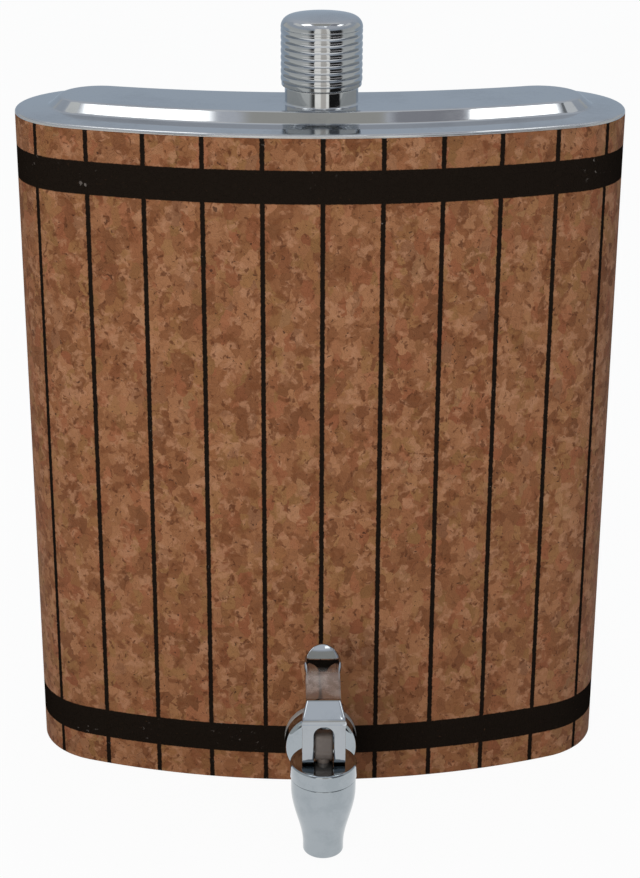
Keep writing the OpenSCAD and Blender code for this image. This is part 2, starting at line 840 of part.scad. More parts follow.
// Lever: a fork that straddles the stem, a sloping pad and a hollow thumb rest
module lever() {
    top_h = shoulder_h + pad_rise + handle_l;
    low_h = pin_rise + past;
    color(chrome) translate([0, valve_y, pin_z]) difference() {
        intersection() {
            rotate([90, 0, 90])
                translate([0, 0, -shoulder_w / 2])
                    linear_extrude(shoulder_w)
                        lever_side();
            union() {
                translate([0, 0, fork_h])
                    linear_extrude(top_h)
                        lever_plan();
                translate([-lever_w / 2, -leg_front - past, -low_h])
                    cube([lever_w, fork_run, low_h + fork_h + past]);
            }
        }
        translate([-fork_gap / 2, -leg_front - past, -low_h])
            cube([fork_gap, fork_run, low_h + fork_h - fork_gap / 2]);
        translate([0, -leg_front - past, fork_h - fork_gap / 2])
            rotate([-90, 0, 0])
                cylinder(r = fork_gap / 2, h = fork_run);
        translate([-shoulder_w / 2 - past, 0, 0])
            rotate([0, 90, 0])
                cylinder(r = pin_r + fit_gap, h = shoulder_w + 2 * past);
    }
}

// Pin through the lever's legs and the stem's head
module lever_pin() {
    color(steel)
        translate([-lever_w / 2, valve_y, pin_z])
            rotate([0, 90, 0])
                cylinder(r = pin_r, h = lever_w);
}

flask_shell();
top_plate();
base_plate();
neck();
cork_wrap();
cap_shell();
cap_insert();
cap_liner();
tap_body();
outer_washer();
inner_washer();
tap_nut();
bonnet();
bonnet_gasket();
stem_seal();
seal_retainer();
valve_stem();
valve_plug();
spring_seat();
closing_spring();
lever();
lever_pin();
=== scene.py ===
"""Looks of a flask dispenser: a steel tank wrapped in cork, with a screw cap and a lever tap.

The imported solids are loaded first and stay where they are. Classes below dress them with materials,
or put a finer mesh in the place of a solid that is seen from close by.
"""

import logging
import math
from dataclasses import dataclass, field
from enum import Enum
from typing import Callable, Iterable, Sequence, Union

import bmesh
import bpy
from mathutils import Matrix, Vector


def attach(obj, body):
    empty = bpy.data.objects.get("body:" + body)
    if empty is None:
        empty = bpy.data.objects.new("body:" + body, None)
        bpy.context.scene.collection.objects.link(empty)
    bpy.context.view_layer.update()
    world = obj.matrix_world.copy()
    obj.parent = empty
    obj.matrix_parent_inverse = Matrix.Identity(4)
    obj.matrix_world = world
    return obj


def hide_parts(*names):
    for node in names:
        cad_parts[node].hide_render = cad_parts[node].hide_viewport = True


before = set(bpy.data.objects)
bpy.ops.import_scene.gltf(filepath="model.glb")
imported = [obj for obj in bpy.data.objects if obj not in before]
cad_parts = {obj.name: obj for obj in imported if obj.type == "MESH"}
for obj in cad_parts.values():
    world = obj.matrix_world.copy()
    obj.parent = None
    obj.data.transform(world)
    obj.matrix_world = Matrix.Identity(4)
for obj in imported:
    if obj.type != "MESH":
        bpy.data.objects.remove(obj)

log = logging.getLogger("flask_dispenser")

# Metres in a millimetre
MM = 0.001
# Tap's axis, lever's pin and top of the raised panel, in millimetres
TAP_Y = -89.034
PIN_Z = 46.65
PANEL_Z = 282.3

Point2 = tuple[float, float]
Point3 = tuple[float, float, float]
Rgb = tuple[float, float, float]


class Axis(Enum):
    """Axis that the limits of a finish are measured along."""

    Z = "Z"
    Y = "Y"


class Body(Enum):
    """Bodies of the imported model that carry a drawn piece."""

    FLASK = "flask"
    CAP = "cap"
    STEM = "stem"
    LEVER = "lever"


# Node trees


def arithmetic(operation: str, swapped: bool = False) -> Callable[["Value", "Number"], "Value"]:
    """Operator that adds a node of arithmetic.

    Args:
        operation: Name of the operation.
        swapped: Whether the other number stands on the left.

    Returns:
        The operator.
    """
    def apply(one: "Value", other: "Number") -> "Value":
        """Result of the operation."""
        return one.net.math(operation, *((other, one) if swapped else (one, other)))

    return apply


class Value:
    """A node socket that takes part in sums, as a number would."""

    __add__, __radd__ = arithmetic("ADD"), arithmetic("ADD", True)
    __sub__, __rsub__ = arithmetic("SUBTRACT"), arithmetic("SUBTRACT", True)
    __mul__, __rmul__ = arithmetic("MULTIPLY"), arithmetic("MULTIPLY", True)
    __truediv__ = arithmetic("DIVIDE")

    def __init__(self, net: "Net", socket: bpy.types.NodeSocket) -> None:
        """Keeps the socket and the net that it belongs to."""
        self.net = net
        self.socket = socket

    def __abs__(self) -> "Value":
        """Distance from zero."""
        return self.net.math("ABSOLUTE", self)

    def step(self, low: float, high: float) -> "Value":
        """Smooth step from 0 at the low value to 1 at the high one."""
        settings = {"interpolation_type": "SMOOTHSTEP"}
        inputs = {"Value": self, "From Min": low, "From Max": high}
        return self.net.add("ShaderNodeMapRange", settings, inputs)

    def window(self, rise: Point2, fall: Point2) -> "Value":
        """Product of two smooth steps, one up and one down."""
        return self.step(*rise) * self.step(*fall)

    def other(self, name: str) -> "Value":
        """Another output of the same node."""
        return Value(self.net, self.socket.node.outputs[name])


Number = Union[Value, float]


class Net:
    """A node tree that is written from expressions."""

    def __init__(self, tree: bpy.types.NodeTree) -> None:
        """Keeps the tree."""
        self.tree = tree

    def add(self, kind: str, settings: dict | None = None, inputs: dict | None = None,
            out: int | str = 0) -> Value:
        """Adds one node.

        Args:
            kind: Type of the node.
            settings: Its settings, set first. The stops of a ramp are pairs of place and colour.
            inputs: Values or links of its sockets, by name or number.
            out: Output to return.

        Returns:
            The chosen output, or None if the node has no outputs.
        """
        node = self.tree.nodes.new(kind)
        for key, value in (settings or {}).items():
            if key == "stops":
                self._stops(node.color_ramp, value)
            else:
                setattr(node, key, value)
        for key, value in (inputs or {}).items():
            if isinstance(value, Value):
                self.tree.links.new(value.socket, node.inputs[key])
            else:
                node.inputs[key].default_value = value
        return Value(self, node.outputs[out]) if node.outputs else None

    @staticmethod
    def _stops(ramp: bpy.types.ColorRamp, stops: Sequence[tuple[float, Rgb]]) -> None:
        """Sets the stops of a colour ramp."""
        while len(ramp.elements) < len(stops):
            ramp.elements.new(1.0)
        for element, (place, colour) in zip(ramp.elements, stops):
            element.position = place
            element.color = (*colour, 1.0)

    def math(self, operation: str, *values: Number) -> Value:
        """One step of arithmetic on values or numbers."""
        return self.add("ShaderNodeMath", {"operation": operation}, dict(enumerate(values)))

    def mix(self, factor: Number, first: Union[Value, Rgb], second: Union[Value, Rgb]) -> Value:
        """Mixes two colours by the share of the second."""
        pair = [c if isinstance(c, Value) else (*c, 1.0) for c in (first, second)]
        return self.add("ShaderNodeMix", {"data_type": "RGBA"}, {0: factor, 6: pair[0], 7: pair[1]}, 2)

    def vector(self, operation: str, first: Value, second: Union[Value, Point3]) -> Value:
        """One step of vector arithmetic."""
        return self.add("ShaderNodeVectorMath", {"operation": operation}, {0: first, 1: second})

    def noise(self, place: Value, scale: float, detail: float = 2.0, rough: float = 0.5) -> Value:
        """Noise between 0 and 1, with so many waves in a metre and finer layers on them."""
        inputs = {"Vector": place, "Scale": scale, "Detail": detail, "Roughness": rough}
        return self.add("ShaderNodeTexNoise", {}, inputs)

    def cells(self, place: Value, scale: float, feature: str = "F1", out: str = "Color") -> Value:
        """Output of a Voronoi texture with so many cells in a metre."""
        return self.add("ShaderNodeTexVoronoi", {"feature": feature}, {"Vector": place, "Scale": scale}, out)

    def bump(self, height: Value, distance: float, under: Value | None = None) -> Value:
        """Bump from a height between 0 and 1, in metres, on top of another one if it is given."""
        inputs = {"Strength": 1.0, "Distance": distance, "Height": height}
        if under is not None:
            inputs["Normal"] = under
        return self.add("ShaderNodeBump", {}, inputs)

    def blend(self, share: Value, first: Value, second: Value) -> Value:
        """Blends two shaders by the share of the second."""
        return self.add("ShaderNodeMixShader", {}, {0: share, 1: first, 2: second})

    def split(self, place: Value) -> Value:
        """Splits a place into X, which is returned, and its other parts."""
        return self.add("ShaderNodeSeparateXYZ", {}, {"Vector": place})

    def principled(self, **inputs: Union[Number, Rgb]) -> Value:
        """General shader. Its inputs are named with low lines for spaces, and colours may lack alpha."""
        named = {key.replace("_", " "): value for key, value in inputs.items()}
        if isinstance(named["Base Color"], tuple):
            named["Base Color"] = (*named["Base Color"], 1.0)
        return self.add("ShaderNodeBsdfPrincipled", {}, named)

    def glow(self, tint: Rgb) -> Value:
        """Even emission of a colour."""
        return self.add("ShaderNodeEmission", {}, {"Color": (*tint, 1.0), "Strength": 1.0})


def blank(holder: Union[bpy.types.Material, bpy.types.World]) -> Net:
    """Net of a material's or a world's node tree, emptied."""
    holder.use_nodes = True
    holder.node_tree.nodes.clear()
    return Net(holder.node_tree)


def coat(name: str, mesh: bpy.types.Mesh) -> Net:
    """Gives a mesh an empty material and returns its net."""
    material = bpy.data.materials.new(name)
    mesh.materials.append(material)
    return blank(material)


# Finishes


@dataclass(frozen=True)
class Finish:
    """A material that is built once and shared."""

    name: str

    def material(self) -> bpy.types.Material:
        """Builds the material, or finds it if it was built before."""
        found = bpy.data.materials.get(self.name)
        if found is not None:
            return found
        material = bpy.data.materials.new(self.name)
        net = blank(material)
        net.add("ShaderNodeOutputMaterial", {}, {"Surface": self.shader(net)})
        return material

    def shader(self, net: Net) -> Value:
        """Surface shader of the finish."""
        raise NotImplementedError


@dataclass(frozen=True)
class PolishedMetal(Finish):
    """Bright metal with faint smudges, hairlines and waves.

    Attributes:
        tint: Colour of the clean metal.
        dull: Colour under a smudge.
        rough: Roughness of clean metal and of a smudge.
        smudge: Smudges in a metre.
        wave: Height of the sheet's waves, in metres.
        hairline: Height of the hairlines, in metres.
        haze: Share of light that fine scratches spread.
        veil: Colour of the light that they spread.
        lay: Axis that the limits of those scratches are measured along.
        scratched: These limits, in metres.
        soft: Half the width over which the scratches fade at either limit, in metres.
    """

    tint: Rgb = (0.52, 0.54, 0.56)
    dull: Rgb = (0.455, 0.475, 0.495)
    rough: tuple[float, float] = (0.05, 0.13)
    smudge: float = 38.0
    wave: float = 0.00003
    hairline: float = 0.0000006
    haze: float = 0.0
    veil: Rgb = (0.90, 0.885, 0.86)
    lay: Axis = Axis.Y
    scratched: Point2 = (0.0, 0.0)
    soft: Point2 = (0.5 * MM, 0.5 * MM)

    def shader(self, net: Net) -> Value:
        """Metallic shader with smudges in its colour and roughness."""
        place = net.add("ShaderNodeTexCoord", out="Object")
        broad = net.noise(place, self.smudge, 2.0)
        fine = net.noise(place, self.smudge * 11.0, 3.0, 0.6)
        smudge = (broad * 0.75 + fine * 0.25).step(0.46, 0.66)
        hair = net.noise(net.vector("MULTIPLY", place, (260.0, 260.0, 2600.0)), 1.0, 2.0)
        low, high = self.rough
        wave = net.bump(net.noise(place, self.smudge * 0.6, 0.0), self.wave)
        clear = net.principled(
            Metallic=1.0, Base_Color=net.mix(smudge, self.tint, self.dull),
            Roughness=low + smudge * (high - low) + hair * 0.02, Normal=net.bump(hair, self.hairline, wave))
        if not self.haze:
            return clear
        spread = net.principled(Metallic=1.0, Base_Color=self.veil, Roughness=0.42 + smudge * 0.1)
        along = net.split(place).other(self.lay.value)
        (first, last), (near, far) = self.scratched, self.soft
        inside = along.window((first - near, first + near), (last + far, last - far))
        cloud = self.haze * (0.7 + smudge * 0.6) * inside
        return net.blend(cloud, clear, spread)


@dataclass(frozen=True)
class Moulded(Finish):
    """Plain moulded material with a fine grain and dusty patches.

    Attributes:
        tint: Colour of the clean surface.
        dust: Colour of the dusty patches.
        rough: Roughness of both.
        grain: Height of the grain, in metres.
    """

    tint: Rgb = (0.30, 0.30, 0.29)
    dust: Rgb = (0.42, 0.42, 0.40)
    rough: tuple[float, float] = (0.45, 0.62)
    grain: float = 0.00004

    def shader(self, net: Net) -> Value:
        """Plain shader with a grain in its bump and patches in its colour."""
        place = net.add("ShaderNodeTexCoord", out="Object")
        patch = net.noise(place, 90.0, 4.0, 0.6).step(0.42, 0.7)
        grain = net.noise(place, 2400.0, 2.0)
        low, high = self.rough
        return net.principled(
            Base_Color=net.mix(patch * 0.8 + grain * 0.2, self.tint, self.dust),
            Roughness=low + patch * (high - low), Normal=net.bump(grain, self.grain))


@dataclass(frozen=True)
class PrintedCork(Finish):
    """Pressed cork with printed staves and hoops.

    The piece's own map gives the distance along the wrap from the front's middle, and the height.

    Attributes:
        stave: Distance between two stave lines, in metres.
        line: Width of a stave line, in metres.
        hoops: Lower and upper edge of each hoop, in metres.
        warp: How far granules are bent out of shape, in metres.
        relief: Height of the granules, in metres.
        ink: Colour of the print.
        worn: Colour of the print where it is scuffed.
        layers: Share and colour of each kind of flake and fleck over the ground, from the lowest.
    """

    stave: float = 22.9 * MM
    line: float = 1.9 * MM
    hoops: tuple[Point2, ...] = ((13.2 * MM, 26.3 * MM), (250.7 * MM, 263.8 * MM))
    warp: float = 0.0045
    relief: float = 0.00022
    ink: Rgb = (0.0105, 0.0075, 0.0055)
    worn: Rgb = (0.20, 0.175, 0.155)
    layers: tuple[tuple[float, Rgb], ...] = (
        (0.55, (0.245, 0.078, 0.034)), (0.55, (0.235, 0.120, 0.041)), (0.70, (0.350, 0.172, 0.090)),
        (0.75, (0.143, 0.048, 0.016)), (0.16, (0.42, 0.235, 0.135)), (0.80, (0.100, 0.032, 0.011)),
        (0.80, (0.042, 0.015, 0.007)))

    def shader(self, net: Net) -> Value:
        """Shader of granules and flecks, with scuffed print over them."""
        place = net.add("ShaderNodeUVMap", {"uv_map": "wrap"})
        warp = net.noise(place, 260.0, 3.0).other("Color")
        bent = net.vector("ADD", place, net.vector("MULTIPLY", warp, (self.warp,) * 3))
        grains = net.cells(bent, 420.0, out="Distance")
        seams = net.cells(bent, 420.0, "DISTANCE_TO_EDGE", "Distance").step(0.0, 0.09)
        pits = net.noise(bent, 900.0, 3.0, 0.7).step(0.30, 0.48)
        normal = net.bump(seams * 0.4 + pits * 0.45 + grains * 0.15, self.relief)
        bare = net.principled(
            Specular_IOR_Level=0.2, Base_Color=self._ground(net, place, bent),
            Roughness=0.86 - seams * 0.06, Normal=normal)
        patch = net.noise(place, 24.0, 2.0).step(0.57, 0.66)
        scuff = patch * net.noise(bent, 430.0, 3.0, 0.65).step(0.64, 0.71)
        inked = net.principled(
            Specular_IOR_Level=0.0, Base_Color=net.mix(scuff * 0.7, self.ink, self.worn),
            Roughness=0.80 + scuff * 0.1, Normal=normal)
        return net.blend(self._print(net, place, bent), bare, inked)

    def _ground(self, net: Net, place: Value, bent: Value) -> Value:
        """Colour of the bare cork.

        Args:
            net: Tree to write in.
            place: Coordinates on the wrap.
            bent: The same, bent a little so that granules are uneven.

        Returns:
            The colour.
        """
        shift = net.vector("ADD", bent, (1.7, 3.1, 0.0))
        tall = net.vector("MULTIPLY", bent, (1.0, 0.62, 1.0))
        flake = net.add("ShaderNodeSeparateColor", {}, {"Color": net.cells(tall, 235.0)})
        broad, fine = net.noise(place, 75.0, 3.0, 0.6), net.noise(bent, 1300.0, 2.0, 0.6)
        tone = flake * 0.56 + broad * 0.34 + fine * 0.10
        base = net.add("ShaderNodeValToRGB", {"stops": (
            (0.22, (0.150, 0.055, 0.021)), (0.45, (0.208, 0.083, 0.033)),
            (0.60, (0.240, 0.101, 0.043)), (0.82, (0.310, 0.142, 0.066)))}, {"Fac": tone})
        red = flake.other("Green").step(0.55, 0.95)
        ochre = flake.other("Blue").step(0.60, 0.95)
        tan = net.noise(bent, 215.0, 3.0, 0.55).step(0.52, 0.66)
        brown = net.noise(shift, 200.0, 3.0, 0.55).step(0.53, 0.66)
        fleck = net.noise(tall, 400.0, 2.0, 0.5).step(0.61, 0.69)
        speck = net.noise(shift, 640.0, 2.0, 0.5).step(0.67, 0.73)
        pale = flake.other("Green").step(0.08, 0.04)
        covers = (red, ochre, tan, brown, pale, fleck, speck)
        for cover, (share, tint) in zip(covers, self.layers):
            base = net.mix(cover * share, base, tint)
        return base

    def _print(self, net: Net, place: Value, bent: Value) -> Value:
        """Cover of the printed staves and hoops, with a few pinholes.

        Args:
            net: Tree to write in.
            place: Coordinates on the wrap.
            bent: The same, bent a little.

        Returns:
            The cover, between 0 and 1.
        """
        along = net.split(place)
        high = along.other("Y")
        ragged = (net.noise(place, 700.0, 3.0, 0.6) - 0.5) * 0.0009
        count = along / self.stave
        off = abs(count - net.math("ROUND", count)) * self.stave + ragged
        cover = off.step(self.line * 0.60, self.line * 0.40)
        for low, top in self.hoops:
            middle, half = (low + top) / 2, (top - low) / 2
            band = (abs(high - middle) + ragged * 0.5).step(half + 0.0002, half - 0.0002)
            cover = net.math("MAXIMUM", cover, band)
        pinhole = net.noise(bent, 1300.0, 2.0, 0.6).step(0.71, 0.76)
        return cover * (1.0 - pinhole * 0.2)


STEEL = PolishedMetal("polished_steel")
PRESSED_STEEL = PolishedMetal("pressed_steel", haze=0.75, veil=(0.66, 0.655, 0.65), lay=Axis.Z,
                              scratched=(270.0 * MM, 276.9 * MM))
DEEP_STEEL = PolishedMetal("inner_steel", tint=(0.46, 0.47, 0.48), dull=(0.38, 0.39, 0.40),
                           rough=(0.16, 0.3))
CHROME = PolishedMetal("chrome_plate", tint=(0.365, 0.402, 0.43), dull=(0.33, 0.368, 0.395),
                       rough=(0.04, 0.10), smudge=120.0, wave=0.000005)
BRIGHT_CHROME = PolishedMetal("bright_chrome", tint=(0.395, 0.42, 0.445), dull=(0.37, 0.395, 0.42),
                              rough=(0.0, 0.03), smudge=150.0, wave=0.0, hairline=0.0, haze=0.36,
                              scratched=(-86.5 * MM, -73.0 * MM), soft=(0.5 * MM, 2.5 * MM))
CORK = PrintedCork("printed_cork")
SILICONE = Moulded("grey_silicone")
# Dark brown-grey plastic of the valve stem, partly painted shade: the dark brown also stands in for the deep
# shade between the lever's legs.
SHADED_SPINDLE = Moulded("spindle_plastic_and_shade", tint=(0.085, 0.068, 0.058), dust=(0.125, 0.105, 0.092),
                  rough=(0.16, 0.26), grain=0.00001)
WHITE = Moulded("white_plastic", tint=(0.72, 0.72, 0.68), dust=(0.62, 0.62, 0.58), rough=(0.35, 0.5))


# Meshes


class Solid:
    """Points and faces of one piece, in millimetres, gathered ring by ring."""

    def __init__(self) -> None:
        """Starts empty."""
        self.points: list[Point3] = []
        self.faces: list[tuple[int, ...]] = []
        self.marks: list[Point2] = []

    def ring(self, points: Iterable[Sequence[float]], marks: Iterable[Point2] | None = None) -> list[int]:
        """Adds a row of points.

        Args:
            points: Places of the points.
            marks: Map coordinates of the points, if the piece has a map.

        Returns:
            Their numbers.
        """
        first = len(self.points)
        self.points.extend(tuple(p) for p in points)
        if marks is not None:
            self.marks.extend(marks)
        return list(range(first, len(self.points)))

    def bridge(self, one: Sequence[int], two: Sequence[int], closed: bool = True) -> None:
        """Joins two rows with faces. A row of one point is a pole.

        Args:
            one: First row.
            two: Second row.
            closed: Whether the rows go round.
        """
        count = max(len(one), len(two))
        for i in range(count if closed else count - 1):
            j = (i + 1) % count
            corners = (one[i % len(one)], one[j % len(one)], two[j % len(two)], two[i % len(two)])
            face = tuple(dict.fromkeys(corners))
            if len(face) > 2:
                self.faces.append(face)

    def cap(self, row: Sequence[int], flip: bool = False) -> None:
        """Closes a row with one face."""
        self.faces.append(tuple(reversed(row)) if flip else tuple(row))

    def skin(self, rows: Sequence[Sequence[int]], caps: bool = False) -> None:
        """Joins rows in their order, and closes the first and the last one if caps are wanted."""
        for one, two in zip(rows, rows[1:]):
            self.bridge(one, two)
        if caps:
            self.cap(rows[0])
            self.cap(rows[-1], flip=True)

    def build(self, name: str, finish: Finish, sharp: float) -> bpy.types.Object:
        """Makes the object.

        Args:
            name: Name of the object.
            finish: Its material.
            sharp: Angle in degrees over which an edge stays sharp.

        Returns:
            The object, at the origin.
        """
        mesh = bpy.data.meshes.new(name)
        mesh.from_pydata([tuple(c * MM for c in p) for p in self.points], [], self.faces)
        if self.marks:
            layer = mesh.uv_layers.new(name="wrap")
            for loop in mesh.loops:
                layer.data[loop.index].uv = [c * MM for c in self.marks[loop.vertex_index]]
        mesh.materials.append(finish.material())
        smooth(mesh, sharp)
        return link(bpy.data.objects.new(name, mesh))


def link(thing: bpy.types.Object) -> bpy.types.Object:
    """Puts an object in the scene."""
    bpy.context.scene.collection.objects.link(thing)
    return thing


def smooth(mesh: bpy.types.Mesh, sharp: float) -> None:
    """Shades a mesh smooth, with edges over an angle in degrees kept sharp and faces turned outwards."""
    work = bmesh.new()
    work.from_mesh(mesh)
    bmesh.ops.recalc_face_normals(work, faces=work.faces)
    work.to_mesh(mesh)
    work.free()
    mesh.polygons.foreach_set("use_smooth", [True] * len(mesh.polygons))
    mesh.set_sharp_from_angle(angle=math.radians(sharp))
    mesh.update()


def bend(middle: Point2, radius: float, start: float, stop: float, steps: int) -> list[Point2]:
    """Points along an arc.

    Args:
        middle: Middle of the arc.
        radius: Its radius.
        start: First angle in degrees.
        stop: Last angle in degrees.
        steps: Number of steps.

    Returns:
        The points.
    """
    angles = (math.radians(start + (stop - start) * i / steps) for i in range(steps + 1))
    return [(middle[0] + radius * math.cos(a), middle[1] + radius * math.sin(a)) for a in angles]


def corner(tip: Point2, radius: float, start: float, stop: float, steps: int) -> list[Point2]:
    """Points along the quarter round of a corner.

    Args:
        tip: The sharp corner.
        radius: Radius of the round.
        start: First angle in degrees.
        stop: Last angle in degrees, a quarter turn away.
        steps: Number of steps.

    Returns:
        The points.
    """
    way = math.radians((start + stop) / 2)
    middle = (tip[0] - math.copysign(radius, math.cos(way)), tip[1] - math.copysign(radius, math.sin(way)))
    return bend(middle, radius, start, stop, steps)


def between(table: Sequence[Point2], place: float) -> float:
    """Value at a place, on straight lines between the points of a table."""
    for (x0, y0), (x1, y1) in zip(table, table[1:]):
        if place <= x1:
            return y0 + (y1 - y0) * (place - x0) / (x1 - x0)
    (x0, y0), (x1, y1) = table[-2:]
    return y1 + (y1 - y0) * (place - x1) / (x1 - x0)


def prism(solid: Solid, loop: Sequence[Point2], half: float, radius: float, steps: int = 5) -> None:
    """Adds a side outline drawn out across, with rounded edges.

    Args:
        solid: Solid to add to.
        loop: Points of the outline, front to back and up.
        half: Half its width.
        radius: Radius of the edges.
        steps: Number of steps in a rounded edge.
    """
    normals = []
    for i, (y, z) in enumerate(loop):
        before, after = loop[i - 1], loop[(i + 1) % len(loop)]
        into, away = Vector((y - before[0], z - before[1])), Vector((after[0] - y, after[1] - z))
        along = (into.normalized() + away.normalized()).normalized()
        normals.append((along.y, -along.x))
    area = sum(a[0] * b[1] - b[0] * a[1] for a, b in zip(loop, [*loop[1:], loop[0]]))
    out = 1.0 if area > 0 else -1.0
    rows = []
    for way in (1.0, -1.0):
        part = []
        for i in range(steps + 1):
            a = math.radians(90 * i / steps)
            draw, step = radius * (1 - math.sin(a)), radius * (1 - math.cos(a))
            part.append(solid.ring([(way * (step - half), y - out * n[0] * draw, z - out * n[1] * draw)
                                    for (y, z), n in zip(loop, normals)]))
        rows.extend(part if way > 0 else reversed(part))
    solid.skin(rows, caps=True)


def turned(profile: Sequence[Point2], y: float = 0.0, closed: bool = False, sides: int = 144) -> Solid:
    """Turns a profile about an upright axis.

    Args:
        profile: Points of radius and height. A radius of 0 is a pole.
        y: Place of the axis, from front to back.
        closed: Whether the profile is a loop that stays off the axis.
        sides: Number of sides.

    Returns:
        The solid.
    """
    solid = Solid()
    rows = []
    for radius, z in profile:
        angles = [math.tau * i / sides for i in range(sides if radius else 1)]
        rows.append(solid.ring([(radius * math.cos(a), y + radius * math.sin(a), z) for a in angles]))
    solid.skin(rows)
    if closed:
        solid.bridge(rows[-1], rows[0])
    return solid


@dataclass(frozen=True)
class Station:
    """A place on the tank's outline: point, outward direction and distance along it."""

    x: float
    y: float
    nx: float
    ny: float
    along: float

    def at(self, inwards: float, z: float) -> Point3:
        """Point at a distance inwards and a height."""
        return (self.x - self.nx * inwards, self.y - self.ny * inwards, z)


@dataclass
class Outline:
    """Outline of the tank at the cork's face, in millimetres, from the seam round the front and back.

    Attributes:
        end_x: Place of the end arcs' middles, across.
        end_y: Place of the end arcs' middles, from front to back.
        end_r: Radius of the end arcs.
        front_r: Radius of the bowed front.
        back_r: Radius of the hollow back.
        front_n: Outward direction where the right end meets the front.
        back_n: Outward direction where the right end meets the back.
    """

    end_x: float = 87.164
    end_y: float = 14.15
    end_r: float = 32.836
    front_r: float = 280.461
    back_r: float = 278.464
    front_n: Point2 = (0.352, -0.936)
    back_n: Point2 = (-0.28, 0.96)

    def stations(self, gap: float = 0.0) -> list[Station]:
        """Places along the outline.

        Args:
            gap: Width left open at the seam in the middle of the back. Without it the row closes.

        Returns:
            The places, from the left of the seam to the right of it.
        """
        front_a = math.degrees(math.asin(self.front_n[0]))
        back_a = math.degrees(math.asin(-self.back_n[0]))
        turn_low = math.degrees(math.atan2(self.front_n[1], self.front_n[0]))
        turn_high = math.degrees(math.atan2(self.back_n[1], self.back_n[0]))
        front_c = self.end_y + (self.front_r - self.end_r) * -self.front_n[1]
        back_c = self.end_y + (self.back_r + self.end_r) * self.back_n[1]
        half = math.radians(front_a) * self.front_r
        turn = math.radians(turn_high - turn_low) * self.end_r
        right: list[Station] = []
        for i in range(0, 41):
            a = math.radians(front_a * i / 40)
            right.append(Station(self.front_r * math.sin(a), front_c - self.front_r * math.cos(a),
                                 math.sin(a), -math.cos(a), self.front_r * a))
        for i in range(1, 65):
            share = i / 64
            a = math.radians(turn_low + (turn_high - turn_low) * share)
            right.append(Station(self.end_x + self.end_r * math.cos(a), self.end_y + self.end_r * math.sin(a),
                                 math.cos(a), math.sin(a), half + turn * share))
        last = math.radians(back_a)
        for i in range(1, 31):
            a = last * (1 - i / 30) + (gap / 2 / self.back_r) * (i / 30)
            right.append(Station(self.back_r * math.sin(a), back_c - self.back_r * math.cos(a),
                                 -math.sin(a), math.cos(a), half + turn + self.back_r * (last - a)))
        left = [Station(-p.x, p.y, -p.nx, p.ny, -p.along) for p in right[:0:-1]]
        return (left if gap else left[1:]) + right


# Geometry node trees


class Grower:
    """A geometry node tree that grows repeated details on a mesh."""

    def __init__(self, name: str, fields: dict[str, float]) -> None:
        """Starts the tree.

        Args:
            name: Name of the tree.
            fields: Names and values of its inputs.
        """
        self.tree = bpy.data.node_groups.new(name, "GeometryNodeTree")
        face = self.tree.interface
        face.new_socket(name="Geometry", in_out="INPUT", socket_type="NodeSocketGeometry")
        self.keys = {
            key: face.new_socket(name=key, in_out="INPUT", socket_type="NodeSocketFloat").identifier
            for key in fields
        }
        face.new_socket(name="Geometry", in_out="OUTPUT", socket_type="NodeSocketGeometry")
        self.fields = fields
        self.net = Net(self.tree)
        self.base = self.net.add("NodeGroupInput")

    def value(self, name: str) -> Value:
        """One of the tree's inputs."""
        return self.base.other(name)

    def grow(self, thing: bpy.types.Object, detail: Value, finish: Finish, sharp: float) -> None:
        """Joins the detail to an object's mesh and keeps the result as a plain mesh.

        Args:
            thing: Object to grow on.
            detail: Geometry of the detail.
            finish: Material of the detail.
            sharp: Angle in degrees over which an edge stays sharp.
        """
        net = self.net
        real = net.add("GeometryNodeRealizeInstances", {}, {"Geometry": detail})
        real = net.add("GeometryNodeSetMaterial", {}, {"Geometry": real, "Material": finish.material()})
        join = net.add("GeometryNodeJoinGeometry")
        for part in (self.base, real):
            self.tree.links.new(part.socket, join.socket.node.inputs[0])
        net.add("NodeGroupOutput", {}, {0: join})
        modifier = thing.modifiers.new("grown", "NODES")
        modifier.node_group = self.tree
        for key, value in self.fields.items():
            modifier[self.keys[key]] = value
        graph = bpy.context.evaluated_depsgraph_get()
        mesh = bpy.data.meshes.new_from_object(thing.evaluated_get(graph))
        thing.modifiers.remove(modifier)
        old, thing.data = thing.data, mesh
        bpy.data.meshes.remove(old)
        mesh.name = thing.name
        slots = {id(m): m for m in mesh.materials if m is not None}
        if len(slots) == 1:
            mesh.materials.clear()
            mesh.materials.append(next(iter(slots.values())))
            mesh.polygons.foreach_set("material_index", [0] * len(mesh.polygons))
        smooth(mesh, sharp)


# Pieces


@dataclass
class CorkWrap:
    """Cork sleeve with a butt seam at the back."""

    outline: Outline
    low: float = 0.4
    high: float = 276.0
    thick: float = 1.2
    edge: float = 0.22
    seam: float = 0.1

    def build(self) -> bpy.types.Object:
        """Sweeps the sleeve's section from one side of the seam to the other."""
        c, t = self.edge, self.thick
        section = [(c, self.low), (0.0, self.low + c), (0.0, self.high - c), (c, self.high),
                   (t - c, self.high), (t, self.high - c), (t, self.low + c), (t - c, self.low)]
        solid = Solid()
        rows = [solid.ring([s.at(d, z) for d, z in section], [(s.along, z) for d, z in section])
                for s in self.outline.stations(self.seam)]
        solid.skin(rows, caps=True)
        thing = solid.build("cork_sleeve", CORK, 50.0)
        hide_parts("cork_wrap")
        return thing


